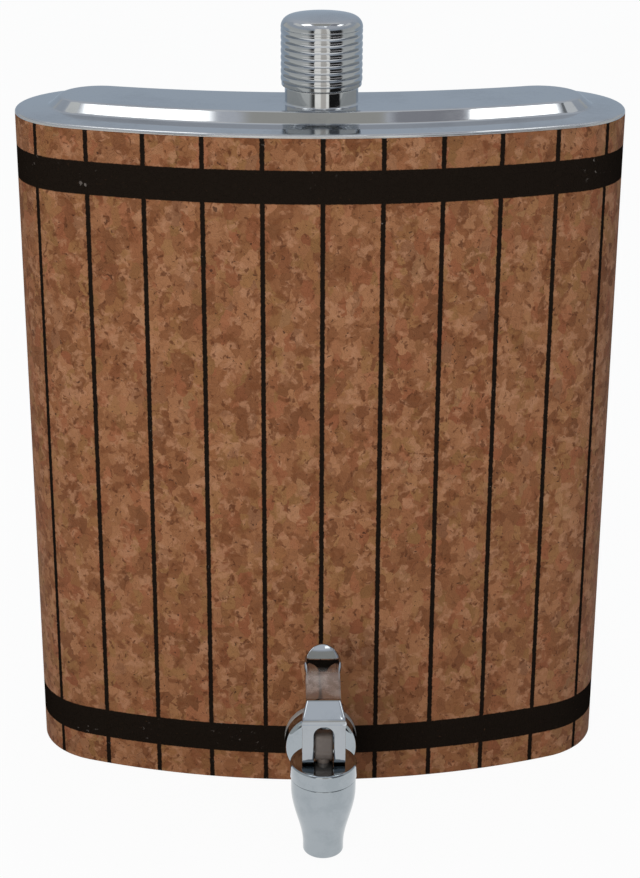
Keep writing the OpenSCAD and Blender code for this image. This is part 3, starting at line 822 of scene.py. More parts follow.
@dataclass
class TopPlate:
    """Pressed top with a rolled rim and a raised panel.

    Attributes:
        fall: Slope of the flange down to its rim, in degrees.
        lip_a: Lean of the lip, in degrees.
        ease: Distance of the flange's straight part from the bends beside it.
        flat: Width of the outermost row on the panel.
    """

    outline: Outline
    lip_z: float = 276.05
    rim_z: float = 278.2
    rim_r: float = 1.2
    fall: float = 4.0
    foot_in: float = 12.0
    panel_z: float = PANEL_Z
    slope: float = 40.0
    bend_r: float = 2.5
    sheet: float = 0.8
    lip_a: float = 4.0
    ease: float = 1.0
    flat: float = 1.2

    def path(self, trim: float) -> list[Point2]:
        """One face of the sheet in section.

        Args:
            trim: Distance under the upper face.

        Returns:
            Points of distance inwards and height.
        """
        rise = self.panel_z - self.rim_z - 2 * self.bend_r * (1 - math.cos(math.radians(self.slope)))
        run = rise / math.tan(math.radians(self.slope))
        crest_in = self.foot_in + 2 * self.bend_r * math.sin(math.radians(self.slope)) + run
        fall = math.radians(self.fall)

        def under(d: float, depth: float) -> float:
            """Height of a line under the flange, at a distance inwards."""
            both = self.bend_r + depth
            return self.rim_z + self.bend_r - both * math.cos(fall) - (
                self.foot_in + both * math.sin(fall) - d) * math.tan(fall)

        rim = under(self.rim_r, self.rim_r)
        lean = (rim - self.lip_z) * math.tan(math.radians(self.lip_a))
        return [
            (trim, self.lip_z),
            *bend((self.rim_r + lean, rim), self.rim_r - trim, 180 - self.lip_a, 90 + self.fall, 10),
            *[(d, under(d, trim)) for d in (self.rim_r + self.ease, self.foot_in - self.ease)],
            *bend((self.foot_in, self.rim_z + self.bend_r), self.bend_r + trim,
                  -90 + self.fall, -90 + self.slope, 10),
            *bend((crest_in, self.panel_z - self.bend_r), self.bend_r - trim, 90 + self.slope, 90, 10),
            (crest_in + self.flat, self.panel_z - trim),
        ]

    def build(self) -> bpy.types.Object:
        """Sweeps both faces of the sheet round the tank and closes the panel."""
        solid = Solid()
        stations = self.outline.stations()
        upper, lower = ([solid.ring([s.at(d, z) for s in stations]) for d, z in self.path(trim)]
                        for trim in (0.0, self.sheet))
        solid.skin(upper)
        solid.skin(lower)
        solid.bridge(upper[0], lower[0])
        solid.cap(upper[-1])
        solid.cap(lower[-1], flip=True)
        thing = solid.build("pressed_top", PRESSED_STEEL, 60.0)
        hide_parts("top_plate")
        return thing


@dataclass
class Neck:
    """Turned neck with a weld fillet, a collar and a screw thread.

    Attributes:
        ridge_h: Height of the thread's section.
        ridge_w: Width of that section at its root and at its crest.
        ridge_out: How far its middle lies outside the root.
        runout: How fast the thread fades at its ends.
    """

    foot_z: float = 281.5
    foot_r: float = 13.2
    panel_z: float = PANEL_Z
    collar_r: float = 14.2
    weld_r: float = 0.8
    collar_z: float = 288.7
    root_r: float = 12.2
    mouth_r: float = 10.8
    mouth_z: float = 306.0
    thread_z: float = 297.1
    pitch: float = 4.0
    turns: float = 1.75
    ridge_h: float = 1.25
    ridge_w: Point2 = (2.2, 0.9)
    ridge_out: float = 0.35
    runout: float = 14.0

    def build(self) -> bpy.types.Object:
        """Turns the neck and winds the thread on it."""
        profile = [
            (self.mouth_r, self.foot_z), (self.foot_r, self.foot_z), (self.foot_r, self.panel_z),
            *corner((self.collar_r, self.panel_z), self.weld_r, 270, 180, 8),
            (self.collar_r, self.panel_z + self.weld_r + 0.2), (self.collar_r, self.collar_z - 0.6),
            *corner((self.collar_r, self.collar_z), 0.4, 0, 90, 5),
            *corner((self.root_r, self.collar_z), 0.3, 270, 180, 4),
            *corner((self.root_r, self.mouth_z), 0.5, 0, 90, 6),
            *corner((self.mouth_r, self.mouth_z), 0.5, 90, 180, 6),
        ]
        thing = turned(profile, closed=True).build("turned_neck", STEEL, 50.0)
        grower = Grower("screw_thread", {
            "Root": self.root_r * MM, "Foot": self.thread_z * MM, "Rise": self.pitch * self.turns * MM,
            "Turns": self.turns})
        net = grower.net
        path = net.add("GeometryNodeCurveSpiral", {}, {
            "Resolution": 64, "Rotations": grower.value("Turns"), "Start Radius": grower.value("Root"),
            "End Radius": grower.value("Root"), "Height": grower.value("Rise"), "Reverse": True})
        path = net.add("GeometryNodeSetCurveNormal", {"mode": "Z_UP"}, {"Curve": path})
        ridge = net.add("GeometryNodeCurvePrimitiveQuadrilateral", {"mode": "TRAPEZOID"}, {
            "Height": self.ridge_h * MM, "Bottom Width": self.ridge_w[0] * MM,
            "Top Width": self.ridge_w[1] * MM, "Offset": 0.0})
        ridge = net.add("GeometryNodeTransform", {}, {
            "Geometry": ridge, "Translation": (0.0, self.ridge_out * MM, 0.0)})
        ridge = net.add("GeometryNodeTransform", {}, {
            "Geometry": ridge, "Rotation": (0.0, 0.0, -math.pi / 2)})
        share = net.add("GeometryNodeSplineParameter")
        fade = net.math("MINIMUM", share * self.runout, (1.0 - share) * self.runout)
        fade = net.math("MINIMUM", fade + 0.05, 1.0)
        wound = net.add("GeometryNodeCurveToMesh", {}, {
            "Curve": path, "Profile Curve": ridge, "Scale": fade, "Fill Caps": True})
        lift = net.add("ShaderNodeCombineXYZ", {}, {"Z": grower.value("Foot")})
        wound = net.add("GeometryNodeTransform", {}, {"Geometry": wound, "Translation": lift})
        grower.grow(thing, wound, STEEL, 30.0)
        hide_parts("neck")
        return thing


@dataclass
class Cap:
    """Screw cap with rounded ribs and a domed crown.

    Attributes:
        crown_a: Angle at which the shoulder runs into the crown, in degrees.
        roof: Thickness of the crown.
        brow: Radius over the uppermost groove.
        overlap: Angle by which a rib is swept on into the wall, in radians.
    """

    low: float = 289.0
    top: float = 316.5
    radius: float = 15.75
    rib_depth: float = 0.28
    rib_pitch: float = 2.6
    ribs: int = 8
    wall: float = 0.7
    shoulder_r: float = 4.2
    crown_a: float = 80.0
    roof: float = 1.0
    brow: float = 0.35
    overlap: float = 0.12

    def build(self) -> bpy.types.Object:
        """Turns the plain cap and grows its ribs."""
        lean = math.radians(self.crown_a)
        crown_r = (self.radius - self.shoulder_r + self.shoulder_r * math.cos(lean)) / math.cos(lean)
        drop = self.shoulder_r * math.sin(lean) + crown_r * (1 - math.sin(lean))
        groove = self.radius - self.rib_depth
        inner = groove - self.wall
        base = self.top - drop
        rib_z = base - self.ribs * self.rib_pitch
        profile = [
            (0.0, self.top - self.roof), (inner - 2.2, base + (self.shoulder_r - 0.5) - self.roof),
            (inner, base), (inner, self.low + 0.15), (inner + 0.15, self.low),
            *corner((groove, self.low), 0.3, 270, 360, 5),
            (groove, rib_z), (groove, base - self.brow),
            *bend((self.radius - self.brow, base), self.brow, -60, 0, 4)[1:],
            *bend((self.radius - self.shoulder_r, base), self.shoulder_r, 4, self.crown_a, 16),
            *bend((0.0, self.top - crown_r), crown_r, self.crown_a + 1, 90, 10)[:-1], (0.0, self.top),
        ]
        thing = turned(profile).build("ribbed_cap", STEEL, 40.0)
        grower = Grower("cap_ribs", {
            "Groove": groove * MM, "Foot": (rib_z + self.rib_pitch / 2) * MM,
            "Pitch": self.rib_pitch * MM, "Bulge": self._bulge() * MM})
        net = grower.net
        ring = net.add("GeometryNodeCurvePrimitiveCircle", {}, {
            "Resolution": 144, "Radius": grower.value("Groove")})
        ring = net.add("GeometryNodeSetCurveNormal", {"mode": "Z_UP"}, {"Curve": ring})
        sweep = 2 * math.asin((self.rib_pitch / 2) / self._bulge()) + self.overlap
        rib = net.add("GeometryNodeCurveArc", {"mode": "RADIUS"}, {
            "Resolution": 13, "Radius": grower.value("Bulge"), "Start Angle": -sweep / 2,
            "Sweep Angle": sweep})
        rib = net.add("GeometryNodeSetSplineCyclic", {}, {"Geometry": rib, "Cyclic": True})
        inset = net.add("ShaderNodeCombineXYZ", {}, {"X": self.rib_depth * MM - grower.value("Bulge")})
        rib = net.add("GeometryNodeTransform", {}, {"Geometry": rib, "Translation": inset})
        swept = net.add("GeometryNodeCurveToMesh", {}, {"Curve": ring, "Profile Curve": rib})
        stack = net.add("GeometryNodeMeshLine", {"mode": "OFFSET"}, {
            "Count": self.ribs,
            "Start Location": net.add("ShaderNodeCombineXYZ", {}, {"Z": grower.value("Foot")}),
            "Offset": net.add("ShaderNodeCombineXYZ", {}, {"Z": grower.value("Pitch")})})
        stacked = net.add("GeometryNodeInstanceOnPoints", {}, {"Points": stack, "Instance": swept})
        grower.grow(thing, stacked, STEEL, 40.0)
        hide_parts("cap_shell")
        return thing

    def _bulge(self) -> float:
        """Radius of a rib's rounded face."""
        return (self.rib_pitch ** 2 / 4 + self.rib_depth ** 2) / (2 * self.rib_depth)


@dataclass
class Valve:
    """Valve body with its spout, arm, flange and shank in one casting.

    Attributes:
        taper: Heights between which the body widens.
        sunk: How deep the arm's end is sunk in the body.
        bore: Radius and height along the inside, from the top.
    """

    y: float = TAP_Y
    shank_z: float = 21.7
    spout_z: float = 2.2
    spout_r: float = 8.0
    lip_r: float = 1.2
    outlet_r: float = 5.0
    body_r: float = 12.7
    taper: Point2 = (5.0, 31.0)
    top: float = 35.6
    arm_r: float = 7.0
    flange_y: float = -45.034
    flange_t: float = 7.5
    flange_r: float = 14.9
    flange_edge: float = 3.0
    shank_r: float = 8.0
    shank_end: float = -19.884
    fillet: float = 2.0
    sunk: float = 0.7
    bore: tuple[Point2, ...] = (
        (11.65, 34.6), (9.95, 34.6), (9.95, 29.6), (9.4, 29.6), (9.4, 21.0), (7.2, 12.5))

    def outside(self, z: float) -> float:
        """Radius of the body at a height."""
        share = min(1.0, max(0.0, (z - self.taper[0]) / (self.taper[1] - self.taper[0])))
        return self.spout_r + (self.body_r - self.spout_r) * (1 - math.cos(math.pi * share)) / 2

    def build(self) -> bpy.types.Object:
        """Turns the body, and joins the arm to it with a fillet."""
        low, high = self.taper
        heights = [low + (high - low) * i / 26 for i in range(27)]
        profile = [
            *corner((self.outlet_r, self.spout_z), 0.5, 180, 270, 5),
            *corner((self.spout_r, self.spout_z), self.lip_r, 270, 360, 8),
            *[(self.outside(z), z) for z in heights],
            *corner((self.body_r, self.top), 0.4, 0, 90, 5),
            (self.bore[0][0], self.top), *self.bore, (self.outlet_r, self.bore[-1][1]),
        ]
        solid = turned(profile, self.y, closed=True)
        self._arm(solid)
        thing = solid.build("tap_casting", CHROME, 45.0)
        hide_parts("tap_body")
        return thing

    def _arm(self, solid: Solid, sides: int = 96) -> None:
        """Adds the arm, the flange and the shank.

        Args:
            solid: Solid to add to.
            sides: Number of sides.
        """
        angles = [math.tau * i / sides for i in range(sides)]

        def on_body(radius: float, away: float) -> list[Point3]:
            """Ring round the arm at a distance from the body's surface."""
            ring = []
            for a in angles:
                x, z = radius * math.cos(a), self.shank_z + radius * math.sin(a)
                depth = math.sqrt(max(0.0, self.outside(z) ** 2 - x * x))
                ring.append((x, self.y + depth + away, z))
            return ring

        f = self.fillet
        rows = [solid.ring([(0.0, self.y + self.outside(self.shank_z) - self.sunk, self.shank_z)])]
        rows.append(solid.ring(on_body(self.arm_r + f * 0.7, -self.sunk)))
        for i in range(9):
            a = math.radians(90 - 90 * i / 8)
            rows.append(solid.ring(on_body(self.arm_r + f * (1 - math.cos(a)), f * (1 - math.sin(a)))))
        back = self.flange_y + self.flange_t
        profile = [
            *corner((self.arm_r, self.flange_y), f, 180, 90, 8),
            *corner((self.flange_r, self.flange_y), self.flange_edge, 270, 360, 8),
            *corner((self.flange_r, back), 0.5, 0, 90, 4),
            *corner((self.shank_r, back), 0.3, 270, 180, 3),
            *corner((self.shank_r, self.shank_end), 0.8, 0, 90, 4), (0.0, self.shank_end),
        ]
        for radius, along in profile:
            turns = angles if radius else [0.0]
            rows.append(solid.ring([
                (radius * math.cos(a), along, self.shank_z + radius * math.sin(a)) for a in turns]))
        solid.skin(rows)


@dataclass
class Bonnet:
    """Screwed ring and lid on top of the valve."""

    y: float = TAP_Y
    low: float = 35.6
    top: float = 42.5
    radius: float = 13.0
    edge: float = 1.0
    hole_r: float = 2.55

    def build(self) -> bpy.types.Object:
        """Turns the lid with a rounded rim and a hole for the stem."""
        profile = [
            (self.hole_r, self.low), *corner((self.radius, self.low), 0.6, 270, 360, 6),
            *corner((self.radius, self.top), self.edge, 0, 90, 10),
            (self.radius - self.edge - 0.8, self.top),
            *corner((self.hole_r, self.top), 0.35, 90, 180, 5),
        ]
        thing = turned(profile, self.y, closed=True).build("valve_bonnet", CHROME, 45.0)
        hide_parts("bonnet")
        return thing


@dataclass
class Lever:
    """Forked lever with a sloping pad and a curved thumb rest. Sizes count from its pin.

    Attributes:
        slopes: Distance along the handle's upper face, and its slope there in degrees.
        crown: Distance from the pin, and fall of the upper face there from its middle to its sides.
        merge: Power by which the handle's sides run into the round thumb rest.
        heel: Radius under the back of a leg.
        path: Points along the handle's upper face, followed from the slopes.
    """

    y: float = TAP_Y
    z: float = PIN_Z
    leg_w: float = 16.7
    gap: float = 7.7
    gap_top: float = 13.6
    front: float = 6.32
    back: float = 6.0
    shoulder_z: float = 16.4
    shoulder_w: float = 17.6
    pad_back: float = 2.0
    pad_rise: float = 5.1
    neck_w: float = 13.6
    thumb_d: float = 14.6
    slopes: tuple[Point2, ...] = (
        (0.0, 6.0), (3.0, 11.4), (6.0, 16.0), (9.0, 20.6), (12.0, 23.4), (15.0, 24.8), (21.0, 26.0),
        (24.0, 30.0), (28.8, 39.5))
    crown: tuple[Point2, ...] = (
        (0.0, 0.0), (2.0, 0.0), (6.0, 0.12), (13.5, 0.12), (15.0, 0.13), (16.5, 0.16), (18.0, 0.205),
        (19.2, 0.235), (20.2, 0.25), (22.2, 0.265), (24.0, 0.30), (30.0, 0.62))
    thick: float = 3.6
    pin_rise: float = 4.0
    turn: float = 70.0
    lift: float = 2.1
    round_r: float = 0.9
    leg_r: float = 0.7
    heel: float = 1.5
    merge: int = 24
    path: list[Point2] = field(default_factory=list)

    def __post_init__(self) -> None:
        """Follows the handle's slopes from the pad to the tip."""
        y, z, step = self.pad_back, self.shoulder_z + self.pad_rise, 0.1
        count = round(self.slopes[-1][0] / step)
        for i in range(count + 1):
            self.path.append((y, z))
            lean = math.radians(between(self.slopes, (i + 0.5) * step))
            y, z = y + step * math.cos(lean), z + step * math.sin(lean)

    def ridge(self, y: float) -> float:
        """Height of the upper face at a distance from the pin."""
        if y <= self.pad_back:
            top = self.shoulder_z + self.pad_rise
            return top + (y - self.pad_back) * self.pad_rise / (self.pad_back + self.front)
        return between(self.path, y)

    def tip(self) -> float:
        """Distance of the tip from the pin."""
        return self.path[-1][0]

    def half(self, y: float) -> float:
        """Half width of the upper face at a distance from the pin."""
        if y <= self.pad_back:
            share = (y + self.front) / (self.pad_back + self.front)
            return (self.shoulder_w + (self.neck_w - self.shoulder_w) * share) / 2
        radius = self.thumb_d / 2
        off = y - (self.tip() - radius)
        disc = math.sqrt(max(0.0, radius * radius - off * off))
        if off >= 0:
            return disc
        neck = self.neck_w / 2
        return (disc ** self.merge + neck ** self.merge) ** (1 / self.merge)

    def build(self) -> bpy.types.Object:
        """Builds the blade and the fork under it."""
        solid = Solid()
        self._blade(solid)
        self._fork(solid)
        solid.points = [(x, y + self.y, z + self.z) for x, y, z in solid.points]
        thing = solid.build("tap_lever", BRIGHT_CHROME, 32.0)
        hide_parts("lever")
        return thing

    def _blade(self, solid: Solid) -> None:
        """Adds the pad and the handle as one rounded slab."""
        r = self.round_r
        start, stop = -self.front + r, self.tip() - r
        places = [start + (self.pad_back - start) * i / 10 for i in range(10)]
        for i in range(61):
            places.append(self.pad_back + (stop - self.pad_back) * math.sin(math.pi / 2 * i / 60))
        places[-1] = stop
        columns = 12

        def inner_half(y: float) -> float:
            """Half width inside the rounded edge."""
            if y > self.tip() - self.thumb_d / 2:
                radius = self.thumb_d / 2 - r
                off = y - (self.tip() - self.thumb_d / 2)
                return math.sqrt(max(0.0, radius * radius - off * off))
            return self.half(y) - r

        def upper(x: float, y: float) -> float:
            """Height of the upper face, crowned along the handle."""
            return self.ridge(y) - between(self.crown, y) * (x / (self.thumb_d / 2)) ** 2

        def lower(x: float, y: float) -> float:
            """Height of the lower face."""
            return self.ridge(y) - self.thick

        outline = [(inner_half(y), y) for y in places[:-1]] + [(0.0, stop)]
        outline += [(-x, y) for x, y in reversed(outline[:-1])]
        normals = []
        for i, (x, y) in enumerate(outline):
            ax, ay = outline[i - 1] if i else outline[0]
            bx, by = outline[i + 1] if i < len(outline) - 1 else outline[-1]
            dx, dy = bx - ax, by - ay
            size = math.hypot(dx, dy) or 1.0
            normals.append((dy / size, -dx / size))
        # Slanting directions at the two front corners
        normals[0], normals[-1] = (0.75, -0.66), (-0.75, -0.66)
        rings = []
        for face, sign in ((upper, -1.0), (lower, 1.0)):
            part = []
            for i in range(7):
                a = math.radians(90 * i / 6)
                out, drop = r * math.sin(a), r * (1 - math.cos(a))
                part.append(solid.ring([
                    (x + nx * out, y + ny * out,
                     face(x, y) + self.ridge(y + ny * out) - self.ridge(y) + sign * drop)
                    for (x, y), (nx, ny) in zip(outline, normals)]))
            rings.append(part)
        for part in rings:
            solid.skin(part)
        solid.bridge(rings[0][-1], rings[1][-1])
        count = len(places)
        for face, part in ((upper, rings[0]), (lower, rings[1])):
            edge = part[0]
            rows = []
            for i, y in enumerate(places[:-1]):
                half = inner_half(y)
                middle = solid.ring([
                    (half * u, y, face(half * u, y))
                    for u in (1 - 2 * j / columns for j in range(1, columns))])
                rows.append([edge[i], *middle, edge[2 * (count - 1) - i]])
            for one, two in zip(rows, rows[1:]):
                solid.bridge(one, two, closed=False)
            last = rows[-1]
            for j in range(columns):
                solid.faces.append((last[j], last[j + 1], edge[count - 1]))

    def _fork(self, solid: Solid) -> None:
        """Adds both legs, the arch between them and the block up to the blade, from front to back."""
        r, inner = self.leg_r, self.gap / 2
        spring = self.gap_top - inner
        turns = [math.radians(15 * i) for i in range(7)]
        places = [(-self.front + r * (1 - math.cos(a)), r * (1 - math.sin(a))) for a in turns]
        places += [(y, 0.0) for y in (-5.0, -4.2, -3.4, -2.6, -1.7, 0.0, self.pad_back, 3.4, 4.5)]
        places += [(self.back - r * (1 - math.cos(a)), r * (1 - math.sin(a))) for a in reversed(turns)]
        rows = []
        for y, draw in places:
            foot, outer = self.sole(y) + draw * 0.6, self.leg_w / 2 - draw
            wide, top = self.half(y) - draw - 0.02, self.ridge(y) - 1.6
            arch = bend((0.0, spring), inner + draw, 0, 180, 20)
            right = [(inner + draw, foot), (outer, foot),
                     *[(outer, self.gap_top + rise) for rise in (-0.8, -0.4)],
                     *[(wide, self.gap_top + rise) for rise in (0.2, 0.6)], (wide, top)]
            loop = [*right, *[(-x, z) for x, z in reversed(right)], *reversed(arch)]
            rows.append(solid.ring([(x, y, z) for x, z in loop]))
        solid.skin(rows, caps=True)

    def sole(self, y: float) -> float:
        """Height of a leg's lower face, which rolls on the bonnet, at a distance from the pin."""
        rate, heel = self.lift / math.radians(self.turn), self.heel
        if y > self.back - heel:
            return heel - self.pin_rise - math.sqrt(max(0.0, heel ** 2 - (y - self.back + heel) ** 2))
        table = []
        for i in range(13):
            a = math.radians(self.turn) * (1 - i / 12)
            rise = self.pin_rise + rate * a
            table.append((-rise * math.sin(a) - rate * math.cos(a), -rise * math.cos(a) + rate * math.sin(a)))
        return between([*table, (self.back, -self.pin_rise)], y)


@dataclass
class Stem:
    """Valve stem: a rod with a tall flat head between the lever's legs."""

    y: float = TAP_Y
    pin_z: float = PIN_Z
    tip_z: float = 14.0
    plug_z: float = 18.5
    tip_r: float = 2.0
    rod_r: float = 2.5
    head_r: float = 3.55
    head_w: float = 7.3
    head_h: float = 8.5
    side: float = 3.15
    top_r: float = 1.9
    edge: float = 0.9

    def build(self) -> bpy.types.Object:
        """Turns the rod and adds the head."""
        profile = [(0.0, self.tip_z), (self.tip_r - 0.3, self.tip_z), (self.tip_r, self.tip_z + 0.3),
                   (self.tip_r, self.plug_z), (self.rod_r, self.plug_z), (self.rod_r, self.pin_z),
                   (0.0, self.pin_z)]
        solid = turned(profile, self.y, sides=48)
        meet = math.degrees(math.acos(self.side / self.head_r))
        loop = [*bend((0.0, 0.0), self.head_r, meet, meet - (180 + 2 * meet), 24),
                *corner((-self.side, self.head_h), self.top_r, 180, 90, 8),
                *corner((self.side, self.head_h), self.top_r, 90, 0, 8)]
        loop = [(y + self.y, z + self.pin_z) for y, z in loop]
        prism(solid, loop, self.head_w / 2, self.edge)
        # The stem's finish is partly painted shade: its dark brown-grey also stands in for the shade between
        # the lever's legs.
        thing = solid.build("valve_spindle", SHADED_SPINDLE, 40.0)
        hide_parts("valve_stem")
        return thing


@dataclass
class Dressing:
    """Finishes of the solids that are shown as they were packed."""

    finishes: dict[str, Finish] = field(default_factory=lambda: {
        "flask_shell": DEEP_STEEL, "base_plate": STEEL, "cap_insert": WHITE, "cap_liner": SILICONE,
        "outer_washer": SILICONE, "inner_washer": SILICONE, "tap_nut": WHITE, "bonnet_gasket": SILICONE,
        "stem_seal": SILICONE, "seal_retainer": DEEP_STEEL, "valve_plug": SILICONE,
        "spring_seat": DEEP_STEEL, "closing_spring": DEEP_STEEL, "lever_pin": STEEL,
    })

    def dress(self) -> None:
        """Gives each solid its material."""
        for name, finish in self.finishes.items():
            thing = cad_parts[name]
            thing.data.materials.clear()
            thing.data.materials.append(finish.material())
            log.info("dressed %s in %s", name, finish.name)


@dataclass
class Studio:
    """Floor, light, reflected cards and camera.

    Attributes:
        floor_size: Width of the floor, in metres.
        floor_glow: Share of even white in the floor as it is seen.
        horizon: Colour of the surroundings low down.
        zenith: Colour of the surroundings overhead.
        shade: Colour of the surroundings on the far left.
        ceiling: Height of the highest card, in metres.
        soft: Share of a card's width over which its edges fade.
        watts: Power of the lamp.
        lamp_size: Width of the lamp, in metres.
        lamp: Place of the lamp, in metres.
        aim: Point that the lamp is turned to, in metres.
        warm: Colour of the lamp.
        eye: Place of the camera, in metres.
        turn: Yaw, pitch and roll of the camera, in radians.
        focal: Focal length of the camera, in heights of the picture.
    """

    floor_size: float = 9.0
    floor_glow: float = 0.95
    horizon: Rgb = (0.375, 0.44, 0.52)
    zenith: Rgb = (0.60, 0.62, 0.67)
    shade: Rgb = (0.29, 0.30, 0.28)
    ceiling: float = 1.58
    soft: float = 0.12
    watts: float = 24.0
    lamp_size: float = 1.1
    lamp: Point3 = (-0.5, -1.85, 0.55)
    aim: Point3 = (0.0, 0.0, 0.13)
    warm: Rgb = (1.0, 0.945, 0.885)
    eye: Point3 = (-0.01675, -0.793, 0.4618)
    turn: Point3 = (0.0211, 0.3837, 0.0043)
    focal: float = 2076.14 / 878.0

    def build(self) -> None:
        """Builds floor, surroundings, light, cards and camera."""
        self._floor()
        self._world()
        self._light()
        self._ring_card()
        self._strip_card()
        white, low = (3.0, 3.0, 2.95), 0.6
        for name, across, along, high, tint in (
                ("left_card", (-0.318, -0.122), (-0.085, 0.075), 0.75, white),
                ("left_wing", (-0.52, -0.305), (-0.06, 0.25), 0.76, (0.80, 0.80, 0.78)),
                ("right_card", (0.186, 0.336), (-0.085, 0.075), 0.75, white),
                ("right_gap", (0.328, 0.376), (-0.06, 0.12), 0.76, (0.20, 0.21, 0.22)),
                ("right_wing", (0.362, 0.56), (-0.03, 0.30), 0.77, (0.76, 0.77, 0.78)),
                ("middle_card", (-0.080, 0.080), (-0.080, 0.065), low, (0.44, 0.43, 0.40)),
                ("dull_card", (0.070, 0.155), (-0.075, 0.065), low, (0.33, 0.33, 0.36)),
                ("pad_card", (-0.060, 0.060), (-0.205, -0.083), low, (0.82, 0.85, 0.90)),
                ("spark_card", (0.022, 0.058), (-0.155, -0.114), low - 0.001, (2.4, 2.4, 2.35)),
                ("back_card", (-0.60, 0.60), (0.08, 0.70), self.ceiling, (0.80, 0.80, 0.80))):
            self._box_card(name, across, along, high, tint)
        self._camera()

    def _floor(self) -> None:
        """Wide pale floor that is near white to the eye and keeps the object's shadow."""
        half = self.floor_size / 2
        mesh = bpy.data.meshes.new("floor")
        spots = [(-half, -half, 0), (half, -half, 0), (half, half, 0), (-half, half, 0)]
        mesh.from_pydata(spots, [], [(0, 1, 2, 3)])
        net = coat("pale_floor", mesh)
        ray = net.add("ShaderNodeLightPath")
        seen = net.math("MAXIMUM", ray.other("Is Camera Ray"), ray.other("Is Glossy Ray"))
        seen = net.math("MAXIMUM", seen, ray.other("Is Transmission Ray"))
        cloth = net.add("ShaderNodeBsdfDiffuse", {}, {"Color": (0.82, 0.82, 0.82, 1.0)})
        pale = net.blend(seen * self.floor_glow, cloth, net.glow((1.0, 1.0, 1.0)))
        net.add("ShaderNodeOutputMaterial", {}, {"Surface": pale})
        link(bpy.data.objects.new("floor", mesh))

    def _world(self) -> None:
        """Surroundings that are white to the eye, and to metal cool, paler upwards and dim on the left."""
        world = bpy.data.worlds.new("studio")
        bpy.context.scene.world = world
        net = blank(world)
        way = net.split(net.add("ShaderNodeTexCoord", out="Generated"))
        high = way.other("Z").step(0.05, 0.95)
        left = way.step(-0.50, -0.80)
        low, top, dim, white = (net.add("ShaderNodeBackground", {}, {"Color": (*tint, 1.0), "Strength": 1.0})
                                for tint in (self.horizon, self.zenith, self.shade, (1.0, 1.0, 1.0)))
        seen = net.add("ShaderNodeLightPath", out="Is Camera Ray")
        sky = net.blend(seen, net.blend(left, net.blend(high, low, top), dim), white)
        net.add("ShaderNodeOutputWorld", {}, {"Surface": sky})

    def _light(self) -> None:
        """Broad soft box in front, which metal does not mirror."""
        lamp = bpy.data.lights.new("front_box", "AREA")
        lamp.energy = self.watts
        lamp.size = self.lamp_size
        lamp.color = self.warm
        thing = link(bpy.data.objects.new("front_box", lamp))
        thing.location = self.lamp
        way = Vector(self.aim) - thing.location
        thing.rotation_euler = way.to_track_quat("-Z", "Y").to_euler()
        thing.visible_glossy = False

    def _card(self, name: str, points: Sequence[Point3], columns: int) -> tuple[Net, Value]:
        """Adds a card that only metal mirrors.

        Args:
            name: Name of the card.
            points: Points of its lower row and then of its upper row.
            columns: Points in a row.

        Returns:
            The net of its material, and the place on it.
        """
        faces = [(i, i + 1, columns + i + 1, columns + i) for i in range(columns - 1)]
        mesh = bpy.data.meshes.new(name)
        mesh.from_pydata(points, [], faces)
        net = coat(name, mesh)
        card = link(bpy.data.objects.new(name, mesh))
        for kind in ("camera", "diffuse", "transmission", "volume_scatter", "shadow"):
            setattr(card, f"visible_{kind}", False)
        return net, net.split(net.add("ShaderNodeTexCoord", out="Object"))

    def _bowed(self, name: str, radius: float, reach: float, low: float,
               high: float) -> tuple[Net, Value, Value]:
        """Adds a card that stands in an arc round the front.

        Args:
            name: Name of the card.
            radius: Distance from the middle, in metres.
            reach: Angle to either side of the front, in degrees.
            low: Height of its foot, in metres.
            high: Height of its top, in metres.

        Returns:
            The net of its material, the angle from the front in degrees, and the height.
        """
        turns = [math.radians(reach * (i / 36 - 1)) for i in range(73)]
        points = [(radius * math.sin(a), -radius * math.cos(a), z) for z in (low, high) for a in turns]
        net, spot = self._card(name, points, len(turns))
        turn = net.math("ARCTAN2", spot, 0.0 - spot.other("Y")) * (180.0 / math.pi)
        return net, turn, spot.other("Z")

    def _layers(self, net: Net, base: Rgb, layers: Iterable[tuple[Value, Rgb]]) -> None:
        """Lays glowing colours over each other by their cover."""
        shade = net.glow(base)
        for cover, tint in layers:
            shade = net.blend(cover, shade, net.glow(tint))
        net.add("ShaderNodeOutputMaterial", {}, {"Surface": shade})

    def _ring_card(self) -> None:
        """Low grey card all round, dark beside its bright middle, with a row for the lip of the top."""
        net, turn, high = self._bowed("ring_card", 0.5, 180.0, 0.03, 0.34)
        lip = high.window((0.222, 0.230), (0.270, 0.262))
        middle = turn.window((-23.0, -20.0), (23.0, 20.0))
        self._layers(net, (0.58, 0.59, 0.575), (
            (turn.window((-42.0, -27.0), (0.0, -4.0)), (0.07, 0.07, 0.066)),
            (turn.window((20.0, 23.0), (62.0, 54.0)), (0.012, 0.012, 0.012)),
            (middle, (1.16, 1.13, 1.06)),
            (turn.window((-5.0, -2.0), (15.0, 11.0)), (0.66, 0.62, 0.57)),
            (lip * turn.window((-62.0, -50.0), (-18.0, -22.0)), (1.10, 1.03, 0.98)),
            (lip * turn.window((20.0, 24.0), (62.0, 54.0)), (0.82, 0.78, 0.78)),
            (lip * middle, (0.44, 0.42, 0.40)),
            (abs(turn).step(95.0, 110.0), self.horizon),
        ))

    def _strip_card(self) -> None:
        """Tall card in front, above the low one: a bright strip between dark sides."""
        net, turn, high = self._bowed("strip_card", 0.9, 138.0, 0.35, 1.25)
        middle = turn.window((-23.0, -20.0), (23.0, 20.0))
        side = turn.window((-42.0, -27.0), (62.0, 54.0))
        self._layers(net, (0.54, 0.55, 0.54), (
            (side, (0.03, 0.03, 0.03)),
            (high.step(0.60, 0.78), (0.45, 0.49, 0.55)),
            (middle, (1.10, 1.07, 1.01)),
            (turn.window((-5.0, -2.0), (15.0, 11.0)), (0.66, 0.62, 0.57)),
            (high.step(1.0, 1.25), (0.60, 0.62, 0.67)),
        ))

